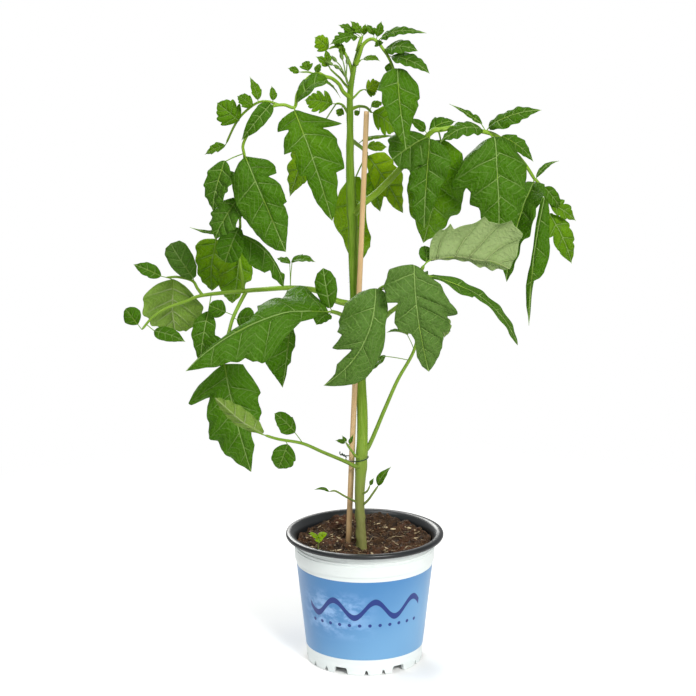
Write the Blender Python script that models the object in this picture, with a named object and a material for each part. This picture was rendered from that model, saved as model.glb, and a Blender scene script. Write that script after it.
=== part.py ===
"""Staked young tomato plant in a 12 cm nursery pot: its solids, at real size.

The plant is laid out in millimetres about the pot's axis, +X to the right of the
plant's front, +Y to its back and +Z up from the ground. Every piece is parented to
one empty, which moves the whole so that the origin is under the middle of its box.
"""
import math
from dataclasses import dataclass

import bmesh
import bpy
import numpy as np
from mathutils import Quaternion, Vector

MM = 0.001
GAP = 0.3                       # clearance between two pieces that touch

# Where the pot's axis stands from the middle of the whole plant's box.
POT_AXIS = (13.1, 17.2)

# Pot: a thermoformed 12 cm nursery pot.
RIM_RADIUS = 60.0
POT_HEIGHT = 100.0
FLOOR_Z = 5.0
FLOOR_TOP = 6.2
FOOT_RADIUS = 44.0
FOOT_WIDTH = 2.6
FOOT_NOTCHES = 6
NOTCH_HEIGHT = 4.2
NOTCH_WIDTH = 10.0
NOTCH_TURN = math.radians(-24.4)  # first notch, from the front
DRAIN_RADIUS = 4.0
DRAIN_CIRCLE = 31.0
DRAINS = 6
POT_SEGMENTS = 44

# Soil: its height at the middle, and how much its surface heaves.
SOIL_Z = 89.0
SOIL_RISE = 3.0
SOIL_BANK = 3.6                 # how much higher it is banked against the back wall
SOIL_ROUGH = 1.1
SOIL_RINGS = 7
SOIL_SEGMENTS = 28

# Stem: centre line from below the soil to the growing tip, and its radius.
STEM_FOOT_Z = 68.0
STEM_LINE = [(-2, -5, 68), (-2, -5, 88), (-3, -5, 106), (-4, -4, 128), (-3, -3, 150), (-2, 0, 171),
             (-2, 4, 193), (-3, 6, 214), (-4, 6, 241), (-7, 5, 272), (-8, 5, 293), (-9, 5, 321),
             (-9, 5, 336), (-10, 5, 355), (-11, 4, 380), (-11, 3, 407), (-11, 2, 434), (-9, 0, 449),
             (-7, 0, 460), (-5, 0, 468)]
STEM_RADII = [3.2, 3.6, 3.4, 3.5, 4.2, 4.1, 4.1, 4.0, 4.0, 3.8, 3.6, 3.5,
              3.5, 3.5, 2.9, 2.3, 2.0, 1.7, 1.4, 1.0]
STEM_STEP = 13.0
STEM_SIDES = 10

# Stake: a split cane pushed down beside the stem.
STAKE_TOP = (1.0, -12.0, 424.0)
STAKE_AT_SOIL = (-13.2, 8.0, 89.0)
STAKE_FOOT_Z = 20.0
STAKE_RADII = (2.3, 2.0)
STAKE_POINT = 12.0

# Wire tie that holds the stem to the stake.
TIE_CENTRE = (-5.8, 0.4, 158.0)
TIE_REACH = (9.4, 6.5)          # half its length along the line from stem to stake, and across
TIE_TURN = math.radians(-37.0)
TIE_WIRE = 0.5

BLADE_THICK = 0.7
PETIOLULE_RADIUS = 0.7
SHORT_STALK = 2.5               # a leaflet's own stalk under this has no section of its own
STALK_SIDES = 6
STALK_STEP = 11.0
PLAIN_PLACES = (0, 0.14, 0.45, 0.75, 1.0)     # sections of a leaflet without lobes
LOBED_OVER = 44.0               # a leaflet longer than this gets its lobes in the solid
LOBED_RIBS = (2, 5)             # places of the midrib in a section with and without lobes
PLAIN_RIBS = (1, 3)
VEIN_NEAR_BASE = math.radians(76.0)
VEIN_NEAR_TIP = math.radians(36.0)
CORNER_STEP = 0.014             # least place on the midrib between two corners of a margin
SINUS = 0.28                    # place of a sinus between two vein ends
FIRST_VEIN = 0.15
EGG_PEAK = 2 * 0.303 ** 0.5 * 0.697 ** 1.15 * math.sin(math.radians(56.0))


@dataclass(frozen=True)
class Leaflet:
    """One blade. It starts at stalk from its place on the rachis and reaches to its tip."""

    at: float                   # place along the rachis, 0 at its foot and 1 at its end
    stalk: tuple                # from the rachis to the foot of the blade
    reach: tuple                # from the foot of the blade to its tip
    width: float
    face: tuple                 # the way the upper side looks
    bow: float = 0.08           # how far the midrib rises towards its face, as a share of its length
    fold: float = 12.0          # degrees that the halves lift from flat
    lobes: float = 0.3          # depth of the lobes
    veins: int = 5              # lateral veins on each side
    sway: float = 0.0           # how far the midrib bows to the left of its face
    twist: float = 0.0          # degrees that the blade turns by its tip
    left: tuple = ()            # the margin's corners, foot to tip: how far along and out, in lengths
    right: tuple = ()


@dataclass(frozen=True)
class Stalk:
    """A petiole, rachis or side stalk with the leaflets on it."""

    line: list
    radii: tuple
    leaflets: tuple = ()


LOW_LEFT = [
    Stalk([(-3, -4, 152), (-7, -9, 154), (-15, -16, 160), (-31, -30, 171), (-46, -45, 182),
           (-63, -55, 188), (-73, -62, 193)], (1.5, 1.0), (
        Leaflet(.66, (-6, -1, 9), (-15, -2, 15), 15, (.2, -.7, .6), veins=4),
        Leaflet(.82, (2, 0, -3), (-7, 1, -19), 17, (.1, -.9, .3), lobes=.25, veins=4),
        Leaflet(1, (-2, -1, 1), (-34, -9, 30), 17, (-.3, .55, .6), bow=-.06, fold=36,
                left=((0, .05), (.2, .16), (.5, .2), (.8, .14), (.95, .06), (1, 0)),
                right=((0, .05), (.2, .16), (.5, .2), (.8, .14), (.95, .06), (1, 0))))),
]
LOW_RIGHT = [
    Stalk([(-3, 0, 163), (3, 4, 166), (15, 10, 193), (25, 15, 215), (37, 20, 236), (42, 24, 256),
           (46, 28, 272)], (1.7, 1.0), (
        Leaflet(.64, (-18, -10, 6), (-14, -4, -15), 12, (-.3, -.2, .8), fold=25, lobes=.2, veins=4),
        Leaflet(.71, (-5, -5, 13), (-16, -10, 4), 8, (0, -.1, 1), fold=30, lobes=.1, veins=4),
        Leaflet(.96, (3, 3, 0), (14, 30, -30), 24, (.4, .5, .6), fold=10),
        Leaflet(1, (-1, 3, 3), (-8, 49, 13), 26, (-.2, .2, .9), fold=10))),
]
FRONT_RIGHT = [
    Stalk([(-5, 5, 249), (0, 1, 252), (4, -9, 257), (9, -24, 266), (17, -44, 280), (26, -62, 292),
           (34, -80, 309), (41, -92, 326)], (2.0, 1.3), (
        Leaflet(.84, (-27, -11, 0), (-37, -12, -68), 52, (.05, -.85, .5), bow=.10, fold=6,
                lobes=.42, veins=4, sway=-.15,
                left=((.03, .09), (.15, .12), (.3, .13), (.46, .175), (.56, .18), (.66, .19),
                      (.76, .185), (.83, .155), (.9, .1), (.95, .06), (1, 0)),
                right=((0, .15), (.12, .29), (.3, .34), (.36, .31), (.44, .3), (.47, .245), (.55, .25),
                       (.66, .265), (.66, .2), (.59, .07), (.66, .08), (.72, .09), (.8, .09),
                       (.87, .03), (1, 0))),
        Leaflet(.94, (-5, -10, 8), (11, -18, -73), 52, (.1, -.9, .4), fold=6, lobes=.42, sway=.04,
                left=((.02, .06), (.09, .14), (.185, .25), (.3, .305), (.49, .39), (.5, .275),
                      (.56, .295), (.655, .295), (.655, .225), (.725, .205), (.81, .185), (.89, .125),
                      (.95, .08), (1, 0)),
                right=((0, .1), (.04, .23), (.18, .28), (.34, .275), (.34, .17), (.41, .2), (.51, .215),
                       (.59, .195), (.63, .085), (.69, .065), (.77, .07), (.85, .073), (.94, .05),
                       (1, 0))),
        Leaflet(.94, (9, 8, -4), (63, 18, -55), 22, (.35, -.3, .9), bow=.13, lobes=.22, twist=-30,
                left=((0, .03), (.1, .07), (.25, .08), (.4, .07), (.55, .07), (.7, .06), (.85, .05),
                      (.95, .03), (1, 0)),
                right=((0, .05), (.1, .06), (.25, .12), (.34, .12), (.37, .05), (.5, .045), (.7, .055),
                       (.85, .05), (.95, .03), (1, 0))),
        Leaflet(1, (2, 3, 2), (-1, 9, 10), 11, (.1, .2, .9), fold=15, lobes=.15, veins=4),
        Leaflet(1, (4, 2, 4), (58, 24, -12), 50, (-.05, .82, .57), bow=.03, fold=34, lobes=.16,
                sway=.08,
                left=((.02, .04), (.25, .07), (.5, .1), (.7, .17), (.85, .18), (.95, .1), (1, 0)),
                right=((0, .11), (.02, .23), (.1, .36), (.22, .44), (.27, .32), (.41, .42), (.56, .5),
                       (.62, .42), (.71, .46), (.83, .53), (.89, .44), (.98, .43), (1, .28), (1, .12),
                       (1.01, 0))))),
    Stalk([(33, -80, 309), (24, -85, 310), (16, -87, 311), (9, -91, 309)], (1.2, 1.0), (
        Leaflet(.55, (-3, -1, 1), (7, 2, 11), 6, (.5, -.6, .6), fold=20, lobes=.1, veins=3),)),
]
FRONT_LEFT = [
    Stalk([(-7, 5, 259), (-12, 0, 263), (-14, -11, 268), (-18, -24, 275), (-25, -36, 280)], (1.9, 1.4), (
        Leaflet(.95, (-2, 0, 3), (-5, 4, 29), 17, (-.1, -.9, .4), fold=10, lobes=.2, veins=4,
                left=((0, .06), (.2, .2), (.45, .27), (.7, .27), (.9, .17), (1, 0)),
                right=((0, .06), (.2, .2), (.45, .27), (.7, .27), (.9, .17), (1, 0))),
        Leaflet(.95, (-3, -4, -1), (-9, -12, -5), 12, (0, -.5, .8), fold=10, lobes=.2, veins=4),
        Leaflet(1, (-2, -2, 0), (-102, -46, -33), 56, (-.15, -.75, .6), bow=.14, fold=-10,
                lobes=.38, sway=.05,
                left=((0, .03), (.2, .06), (.28, .12), (.4, .19), (.475, .24), (.55, .25), (.63, .235),
                      (.66, .17), (.72, .17), (.8, .15), (.93, .07), (1, 0)),
                right=((0, .14), (.01, .25), (.04, .31), (.15, .27), (.19, .22), (.23, .18),
                       (.41, .163), (.44, .097), (.52, .05), (.69, .03), (.83, .02), (1, 0))))),
]
LONG_LEFT = [
    Stalk([(-8, 5, 274), (-13, 3, 277), (-22, 1, 280), (-36, 3, 287), (-56, 8, 288), (-75, 12, 286),
           (-91, 15, 284), (-122, 18, 280), (-135, 19, 275), (-149, 19, 270), (-160, 18, 263),
           (-168, 16, 254)], (2.4, 0.9), (
        Leaflet(.30, (0, -2, 19), (-10, 4, 3), 10, (0, -.15, .95), fold=8, lobes=.15, veins=3),
        Leaflet(.30, (1, -3, 20), (18, -3, 1), 15, (0, -.15, .95), fold=28, lobes=.2, veins=4),
        Leaflet(.30, (0, 2, -27), (-6, -10, -48), 28, (.1, -.9, .3), fold=14, lobes=.35,
                left=((0, .04), (.1, .06), (.2, .1), (.35, .11), (.45, .07), (.6, .075), (.66, .03),
                      (.8, .03), (1, 0)),
                right=((0, .05), (.08, .25), (.2, .36), (.4, .41), (.56, .39), (.6, .35), (.7, .28),
                       (.8, .19), (.9, .09), (1, 0))),
        Leaflet(.65, (-2, -5, -12), (-6, -8, -41), 17, (-.25, -.9, .3), lobes=.08),
        Leaflet(.97, (6, -1, -5), (24, -10, -6), 12, (0, -.75, .65), fold=10, lobes=.12),
        Leaflet(1, (-3, 0, 4), (-9, 2, 12), 14, (-.4, -.8, .4), fold=6, lobes=.1, veins=4))),
    Stalk([(-89, 15, 284), (-94, 12, 275), (-99, 6, 265), (-102, 0, 255), (-105, -6, 245),
           (-105, -10, 235)], (1.5, 1.2), (
        Leaflet(.36, (-6, -2, 3), (-12, -3, 6), 14, (-.2, -.9, .4), fold=6, lobes=.1, veins=4),
        Leaflet(.39, (3, -2, -1), (13, -6, 3), 16, (.1, -.7, .6), fold=15, lobes=.2, veins=4),
        Leaflet(.71, (-2, -1, -1), (-13, 2, -7), 14, (0, -.5, .8), fold=30, lobes=.2, veins=4),
        Leaflet(1, (0, -1, -1), (20, -13, -80), 58, (-.2, -.93, .3), bow=.06, fold=6, lobes=.45,
                left=((.03, .17), (.11, .2), (.21, .24), (.32, .265), (.4, .23), (.5, .235), (.56, .21),
                      (.57, .11), (.67, .1), (.77, .1), (.84, .065), (1, 0)),
                right=((.02, .08), (.12, .3), (.27, .42), (.29, .39), (.25, .21), (.33, .235),
                       (.43, .27), (.63, .3), (.66, .235), (.8, .185), (.9, .105), (1, 0))))),
    Stalk([(-91, 15, 285), (-93, 20, 299), (-95, 27, 310), (-98, 31, 317)], (1.3, 1.0), (
        Leaflet(.78, (0, 2, 2), (-6, 13, -44), 30, (.3, -.85, .3), bow=.10, fold=8, lobes=.25,
                left=((0, .05), (.1, .12), (.2, .2), (.3, .25), (.4, .265), (.5, .23), (.57, .17),
                      (.65, .15), (.8, .12), (.92, .07), (1, 0)),
                right=((0, .05), (.12, .2), (.25, .3), (.4, .33), (.6, .3), (.75, .22), (.9, .1),
                       (1, 0))),
        Leaflet(1, (-14, 3, 3), (-4, 4, -41), 28, (-.3, -.85, .4), bow=.10, fold=8, lobes=.25,
                left=((.03, .07), (.15, .25), (.4, .33), (.6, .3), (.8, .2), (.93, .08), (1, 0)),
                right=((.01, .1), (.05, .26), (.11, .35), (.2, .37), (.4, .33), (.6, .28), (.76, .24),
                       (.9, .13), (1, 0))))),
    Stalk([(-122, 18, 280), (-126, 20, 285), (-130, 24, 290), (-141, 28, 292), (-150, 31, 291)],
          (1.2, 0.9), (
        Leaflet(.36, (0, -1, 3), (-17, 4, 26), 19, (-.3, -.85, .4), fold=8, lobes=.12,
                left=((0, .08), (.2, .24), (.5, .3), (.85, .27), (.97, .18), (1, 0)),
                right=((0, .08), (.2, .24), (.5, .32), (.8, .32), (.95, .22), (1, 0))),
        Leaflet(1, (5, 3, -2), (0, 9, -42), 46, (.3, .9, .2), bow=-.05, lobes=.08),
        Leaflet(1, (-4, 0, 1), (-21, 5, 8), 11, (-.1, -.8, .5), fold=10, lobes=.25, veins=4))),
]
UPPER_LEFT = [
    Stalk([(-11, 2, 432), (-16, -4, 437), (-19, -8, 443), (-24, -13, 448), (-29, -17, 450),
           (-34, -22, 453), (-39, -27, 452), (-44, -31, 448), (-49, -36, 440), (-51, -40, 431),
           (-59, -41, 433), (-69, -42, 431), (-77, -43, 422), (-84, -44, 413), (-88, -44, 404),
           (-87, -44, 396), (-88, -42, 382), (-90, -38, 367), (-91, -35, 354), (-91, -31, 340)],
          (1.4, 0.9), (
        Leaflet(.39, (0, -3, -2), (27, -13, -78), 46, (.15, -.93, .35), bow=.07, fold=8, lobes=.42,
                left=((0, .03), (.11, .19), (.23, .38), (.21, .17), (.25, .22), (.34, .275), (.5, .265),
                      (.61, .255), (.62, .165), (.7, .155), (.83, .11), (.93, .055), (1, 0)),
                right=((.01, .09), (.05, .17), (.12, .205), (.14, .1), (.19, .17), (.33, .225),
                       (.33, .125), (.42, .15), (.55, .155), (.56, .1), (.63, .108), (.82, .082),
                       (.94, .035), (1, 0))),
        Leaflet(.39, (2, -2, 4), (31, 12, 1), 20, (.1, -.25, .95), bow=.42, fold=18, lobes=.2),
        Leaflet(.47, (-2, -4, 2), (-21, -8, -25), 13, (.45, -.55, .7), bow=.15, fold=30, lobes=.15),
        Leaflet(.69, (1, -3, -2), (29, -13, -67), 46, (-.05, -.95, .3), bow=.06, fold=8, lobes=.42,
                left=((.03, .07), (.085, .16), (.13, .22), (.2, .237), (.27, .22), (.265, .135),
                      (.32, .185), (.39, .217), (.56, .208), (.57, .16), (.61, .172), (.71, .157),
                      (.84, .09), (.92, .043), (1, 0)),
                right=((.02, .08), (.115, .18), (.2, .235), (.3, .265), (.4, .27), (.53, .26),
                       (.61, .235), (.75, .2), (.87, .15), (.95, .09), (1, 0))),
        Leaflet(.69, (-14, 4, -6), (-9, 2, -38), 19, (-.3, -.85, .35), bow=.1, fold=15),
        Leaflet(.71, (-7, 3, -11), (-15, -1, -19), 17, (-.6, -.7, .3), fold=25, lobes=.2),
        Leaflet(.84, (-2, -2, -5), (-17, -3, -30), 23, (-.4, -.7, .5), fold=20, lobes=.25),
        Leaflet(.93, (-4, 2, -11), (-33, 5, -1), 7, (-.2, -.3, .9), bow=-.12, fold=25, veins=4),
        Leaflet(.97, (-1, -1, -4), (-10, -2, -25), 20, (-.2, -.9, .3), lobes=.2,
                left=((0, .1), (.2, .28), (.5, .38), (.8, .36), (.95, .18), (1, 0)),
                right=((0, .1), (.2, .3), (.5, .4), (.75, .36), (.93, .2), (1, 0))),
        Leaflet(1, (2, 1, -5), (29, 8, -40), 26, (.1, -.8, .5), bow=.06, fold=14, lobes=.35,
                sway=-.1,
                left=((0, .02), (.2, .05), (.45, .04), (.6, .03), (.78, .03), (.83, .07), (.92, .03),
                      (1, 0)),
                right=((0, .1), (.1, .25), (.25, .33), (.45, .3), (.6, .23), (.64, .13), (.75, .16),
                       (.85, .1), (.93, .06), (1, 0))))),
    Stalk([(-62, -41, 433), (-70, -38, 435), (-77, -35, 434), (-84, -31, 429), (-90, -28, 423),
           (-94, -26, 417), (-97, -23, 411), (-101, -20, 402)], (1.0, 0.8), (
        Leaflet(.08, (0, -1, 2), (-1, 2, 10), 6, (.4, -.8, .3), fold=15, lobes=.15, veins=3),
        Leaflet(.28, (0, 0, 2), (-6, 4, 16), 8, (.5, -.8, .2), fold=20, lobes=.15, veins=4),
        Leaflet(.37, (0, -3, 0), (-11, 2, 7), 12, (0, -.6, .8), fold=15, lobes=.2, veins=4),
        Leaflet(.59, (-1, -2, -3), (-16, 2, 13), 19, (-.2, -.85, .4), fold=8, lobes=.2),
        Leaflet(1, (-1, 0, -2), (-15, 2, -7), 10, (-.1, -.6, .8), fold=20, lobes=.2, veins=4))),
    Stalk([(-34, -22, 453), (-38, -22, 453), (-41, -22, 454), (-47, -22, 454)], (0.7, 0.6), (
        Leaflet(.12, (0, -1, 1), (3, -2, 7), 5, (.1, -.8, .3), fold=15, lobes=.2, veins=3),
        Leaflet(.57, (0, 0, 1), (-2, 0, 7), 9, (-.1, -.8, .5), lobes=.35, veins=3),
        Leaflet(1, (-1, 0, 0), (-8, -2, 3), 6, (-.1, -.7, .6), fold=15, lobes=.2, veins=3))),
]
YOUNG_LEFT = [
    Stalk([(-11, 2, 438), (-15, 2, 442), (-18, 1, 446), (-22, -1, 450), (-26, -2, 454)], (0.9, 0.7), (
        Leaflet(.94, (-2, 1, 4), (-2, 0, 11), 6, (.4, -.8, .3), fold=18, lobes=.15, veins=3),
        Leaflet(1, (-1, 0, 2), (-9, -3, 7), 7, (-.1, -.7, .6), fold=15, veins=3))),
]
TOP_RIGHT = [
    Stalk([(-7, -1, 457), (-4, -4, 465), (-2, -5, 471), (2, -6, 475), (6, -8, 476), (10, -10, 473),
           (13, -12, 469), (16, -14, 465), (19, -16, 459), (22, -19, 451)], (1.5, 0.9), (
        Leaflet(.45, (0, 2, 3), (-5, 4, 7), 6, (-.1, -.6, .7), fold=18, veins=3),
        Leaflet(.48, (1, 0, 3), (3, 1, 11), 7, (.1, -.8, .5), fold=18, veins=3),
        Leaflet(.51, (3, -1, 4), (32, -12, 4), 16, (0, -.6, .8), bow=.10, lobes=.35,
                left=((0, .08), (.1, .15), (.2, .14), (.35, .16), (.55, .12), (.8, .05), (1, 0)),
                right=((0, .1), (.15, .16), (.4, .13), (.7, .08), (1, 0))),
        Leaflet(.62, (2, -1, 0), (23, -12, 0), 16, (.1, -.6, .8), bow=.12, veins=4),
        Leaflet(.56, (-1, -2, 0), (-1, -7, 5), 7, (0, -.9, .3), fold=15, veins=3),
        Leaflet(.73, (3, -2, 0), (27, -12, -11), 15, (.3, -.6, .75), bow=.10, fold=14),
        Leaflet(.79, (1, 0, -2), (-1, 3, -9), 8, (-.4, -.8, .2), fold=20, lobes=.2, veins=3),
        Leaflet(1, (1, 0, 5), (6, -32, -54), 37, (.2, -.95, .25), bow=.07, fold=10, sway=.03,
                left=((0, .117), (.1, .18), (.23, .238), (.37, .25), (.4, .225), (.49, .218),
                      (.62, .152), (.75, .1), (.87, .06), (1, 0)),
                right=((0, .05), (.04, .1), (.095, .165), (.17, .2), (.3, .255), (.33, .205), (.44, .2),
                       (.57, .16), (.73, .12), (.88, .06), (1, 0))))),
]
TIP_LEAF = [
    Stalk([(-5, 1, 466), (-4, 1, 472), (-3, 2, 475), (-2, 2, 477)], (1.5, 1.2), (
        Leaflet(.80, (-3, -1, 2), (-20, -9, -5), 13, (0, -.55, .85), bow=.10, fold=10),
        Leaflet(.88, (-4, 1, 3), (-13, 2, 6), 9, (.2, -.6, .7), fold=14, lobes=.35, veins=4),
        Leaflet(1, (-1, 0, 2), (-8, 1, 9), 7, (.3, -.7, .6), bow=.06, fold=18, veins=4),
        Leaflet(1, (1, 0, 1), (1, 1, 8), 5, (.1, -.9, .2), fold=20, lobes=.2, veins=3))),
]
UPPER_SMALL = [
    Stalk([(-9, 0, 450), (-11, 2, 456), (-13, 2, 461), (-16, 3, 466), (-20, 3, 469), (-24, 2, 469),
           (-26, 0, 468)], (1.3, 0.9), (
        Leaflet(.45, (-2, 0, 1), (-2, 1, 9), 6, (-.5, -.7, .4), fold=18, lobes=.2, veins=3),
        Leaflet(.68, (-1, -1, 2), (-5, -3, 5), 6, (-.2, -.8, .6), fold=14, lobes=.2, veins=3),
        Leaflet(1, (-1, 0, 0), (-10, -4, 9), 13, (-.2, -.75, .6), fold=8, lobes=.2, veins=4))),
]
TOP_SMALL = [
    Stalk([(-8, 0, 454), (-6, 1, 457), (-3, 0, 460)], (0.7, 0.6), (
        Leaflet(.95, (2, 0, 1), (12, -6, -1), 8, (.1, -.5, .85), bow=.14, lobes=.2, veins=4),)),
]
RIGHT = [
    Stalk([(-8, 5, 346), (-1, 3, 353), (11, -2, 364), (31, -14, 388), (47, -26, 410), (55, -28, 413),
           (67, -27, 414), (88, -22, 410), (98, -18, 405), (109, -12, 394), (118, -8, 383),
           (125, -6, 372)], (2.6, 1.2), (
        Leaflet(.46, (-2, -1, 4), (-11, -4, 9), 8, (0, -.8, .6), fold=22, lobes=.2, veins=4),
        Leaflet(.47, (-2, -2, -2), (-25, -8, -15), 34, (-.15, -.8, .6), fold=10, lobes=.4, veins=4),
        Leaflet(.47, (0, -4, -3), (-4, -18, -62), 34, (-.15, -.95, .2), bow=.07, lobes=.4,
                left=((0, .05), (.1, .2), (.25, .27), (.4, .24), (.49, .19), (.62, .145), (.84, .067),
                      (1, 0)),
                right=((0, .05), (.08, .2), (.2, .27), (.38, .2), (.42, .18), (.59, .19), (.63, .145),
                       (.78, .138), (.88, .13), (.91, .09), (.96, .035), (1, 0))),
        Leaflet(.47, (0, 2, 2), (19, 5, 6), 15, (0, -.5, .85), bow=.15, veins=4),
        Leaflet(.51, (3, 16, -10), (-12, 22, -81), 44, (.2, -.95, .2), bow=.10, fold=8, lobes=.4,
                left=((0, .05), (.1, .2), (.3, .28), (.5, .28), (.6, .27), (.68, .25), (.72, .19),
                      (.85, .14), (.95, .06), (1, 0)),
                right=((0, .05), (.1, .2), (.33, .25), (.5, .24), (.6, .21), (.71, .18), (.75, .13),
                       (.85, .09), (1, 0))),
        Leaflet(.70, (-3, -2, 2), (-31, -14, -7), 17, (-.1, -.5, .85), bow=.18),
        Leaflet(.70, (-3, 0, 6), (-24, -2, 15), 6, (-.1, -.7, .7), bow=.06, fold=28, veins=4),
        Leaflet(.70, (2, 0, 4), (37, -12, 14), 21, (.05, -.7, .7), bow=.12, fold=10,
                left=((0, .04), (.05, .1), (.2, .12), (.41, .13), (.46, .115), (.6, .14), (.75, .1),
                      (.9, .04), (1, 0)),
                right=((0, .06), (.1, .13), (.3, .22), (.45, .22), (.6, .19), (.75, .13), (.9, .05),
                       (1, 0))),
        Leaflet(.70, (6, -4, -3), (3, -22, -74), 56, (.1, -.95, .2), fold=8, lobes=.42,
                left=((0, .1), (.08, .17), (.15, .23), (.2, .26), (.27, .3), (.43, .29), (.5, .28),
                      (.6, .26), (.66, .2), (.73, .19), (.84, .16), (.93, .08), (1, 0)),
                right=((0, .08), (.06, .17), (.17, .29), (.39, .43), (.46, .43), (.47, .29),
                       (.52, .265), (.63, .265), (.67, .19), (.76, .17), (.83, .13), (.93, .07), (1, 0))),
        Leaflet(.76, (2, 1, 1), (23, -5, -18), 13, (.1, -.6, .75), bow=.12, fold=18),
        Leaflet(.99, (0, -2, -3), (-20, -16, -71), 38, (-.55, -.75, .3), bow=.10, fold=26,
                left=((0, .15), (.15, .26), (.22, .24), (.26, .18), (.35, .24), (.43, .25), (.54, .245),
                      (.57, .18), (.8, .12), (.92, .06), (1, 0)),
                right=((0, .06), (.1, .15), (.25, .2), (.45, .22), (.65, .17), (.85, .07), (1, 0))),
        Leaflet(1, (1, 1, 2), (17, 7, 11), 5, (-.2, -.5, .8), bow=.16, fold=22, lobes=.2, veins=4))),
    Stalk([(125, -6, 373), (130, -4, 366), (134, -2, 355), (136, 0, 346)], (1.2, 0.8), (
        Leaflet(.28, (2, 0, 0), (12, 3, -16), 11, (.3, -.8, .4), fold=22, lobes=.2, veins=4),
        Leaflet(.50, (0, -4, -1), (-11, -12, -94), 20, (-.25, -.95, 0), bow=.04, fold=-14, sway=.02,
                left=((0, .03), (.13, .065), (.27, .09), (.37, .118), (.46, .12), (.58, .095),
                      (.63, .06), (.65, .02), (.75, .012), (.9, .01), (1, 0)),
                right=((0, .03), (.2, .03), (.4, .02), (.53, .025), (.6, .04), (.7, .045), (.85, .03),
                       (.93, .01), (1, 0))),
        Leaflet(.72, (2, 0, 0), (20, 4, -14), 14, (.3, -.8, .5), fold=15, veins=4),
        Leaflet(1, (0, 0, 0), (18, 6, -39), 20, (.25, -.85, .4), bow=.1, fold=15, veins=4))),
]
BACK_RIGHT = [
    Stalk([(-11, 3, 423), (-7, 7, 424), (-4, 12, 424), (1, 20, 422), (5, 28, 417)], (1.2, 0.9), (
        Leaflet(.37, (0, 0, -4), (-4, 0, -2), 5, (0, -.7, .7), fold=10, lobes=.1, veins=3),
        Leaflet(.89, (1, 1, 3), (8, 2, 3), 8, (.1, -.5, .85), fold=10, lobes=.2, veins=3),
        Leaflet(1, (1, 1, 0), (18, 9, -15), 22, (.2, -.85, .5), fold=8))),
]
BACK_SMALL = [
    Stalk([(-11, 2, 430), (-7, 5, 433), (-4, 7, 436), (-1, 9, 437)], (0.8, 0.6), (
        Leaflet(1, (2, 1, -1), (7, 3, -3), 7, (.1, -.8, .5), fold=10, lobes=.2, veins=3),
        Leaflet(1, (2, 0, 0), (10, 3, 5), 11, (.1, -.8, .5), fold=10, veins=4))),
]
BACK = [
    Stalk([(-11, 4, 397), (-9, 12, 398), (-6, 24, 394), (-2, 36, 389), (2, 48, 383)], (1.7, 1.2), (
        Leaflet(.48, (3, 0, 3), (27, -2, 3), 7, (0, -.3, .95), lobes=.2, veins=4),
        Leaflet(.71, (4, 1, 0), (15, 3, 0), 11, (.1, -.6, .8), lobes=.25, veins=4),
        Leaflet(.95, (1, 2, -3), (27, 12, -46), 30, (.3, -.9, .3), fold=6, lobes=.35),
        Leaflet(1, (1, 10, -16), (9, 8, -32), 16, (.2, -.9, .3), fold=8, lobes=.25, veins=4),
        Leaflet(1, (-9, 14, -20), (-2, 22, -73), 34, (-.05, -.95, .25), fold=8, lobes=.25, veins=4,
                left=((0, .05), (.2, .12), (.45, .13), (.55, .15), (.63, .185), (.75, .18), (.86, .14),
                      (.96, .08), (1, 0)),
                right=((0, .05), (.15, .15), (.35, .21), (.5, .21), (.58, .17), (.7, .1), (.82, .06),
                       (1, 0))))),
]
BACK_LEFT = [
    Stalk([(-11, 3, 417), (-13, 9, 420), (-16, 15, 424), (-19, 20, 425), (-22, 25, 424)], (1.1, 0.8), (
        Leaflet(.63, (0, 1, -3), (-3, 0, -6), 6, (0, -.9, .4), lobes=.2, veins=3),
        Leaflet(.96, (-11, 36, -22), (-25, 24, -59), 24, (-.2, -.9, .3), fold=10, lobes=.35),
        Leaflet(1, (-2, 1, 0), (-21, 4, 2), 19, (-.2, -.75, .6), fold=10, lobes=.35))),
]
SEED_LEAF_LEFT = [
    Stalk([(-4, -4, 123), (-9, -8, 127), (-15, -14, 132), (-22, -17, 137), (-26, -18, 137)], (0.8, 0.7), (
        Leaflet(1, (-1, 0, 0), (-11, -3, 2), 3, (-.1, -.6, .8), bow=.2, fold=25, lobes=0, veins=3),)),
]
SEED_LEAF_RIGHT = [
    Stalk([(-4, -4, 120), (2, -7, 126), (6, -8, 132), (10, -8, 138)], (0.9, 0.8), (
        Leaflet(1, (0, 0, 1), (10, -2, 15), 8, (-.5, -.6, .5), bow=.08, fold=30, lobes=0, veins=3),)),
]
BASE_SHOOT = [
    Stalk([(-4, -4, 130), (1, -7, 133), (3, -8, 136), (4, -8, 139)], (0.8, 0.6), (
        Leaflet(1, (0, 0, 0), (3, -1, 6), 3, (-.3, -.8, .3), fold=15, lobes=.1, veins=3),)),
]
SIDE_SHOOT = [
    Stalk([(-3, -4, 158), (-7, -8, 162), (-11, -10, 168), (-14, -11, 173)], (1.1, 0.8), (
        Leaflet(.85, (1, -1, 2), (3, 1, 7), 3, (-.2, -.8, .3), fold=15, lobes=.1, veins=3),
        Leaflet(1, (0, 0, 1), (-3, -1, 5), 3, (-.3, -.8, .4), fold=15, lobes=.1, veins=3),
        Leaflet(1, (-1, 0, 0), (-7, -1, 2), 4, (-.1, -.6, .7), fold=15, lobes=.1, veins=3))),
]
SEEDLING = [
    Stalk([(-35, -30, 84), (-35, -30, 96), (-35, -31, 105)], (0.7, 0.6), (
        Leaflet(1, (0, 0, 0), (-7, -3, 4), 6, (-.1, -.4, .9), fold=8, lobes=0, veins=3),
        Leaflet(1, (0, 0, 0), (7, 1, 3), 6, (.1, -.4, .9), fold=8, lobes=0, veins=3),
        Leaflet(1, (0, 0, -1), (1, -8, -1), 6, (0, -.6, .8), fold=8, lobes=.1, veins=3))),
]

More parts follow.
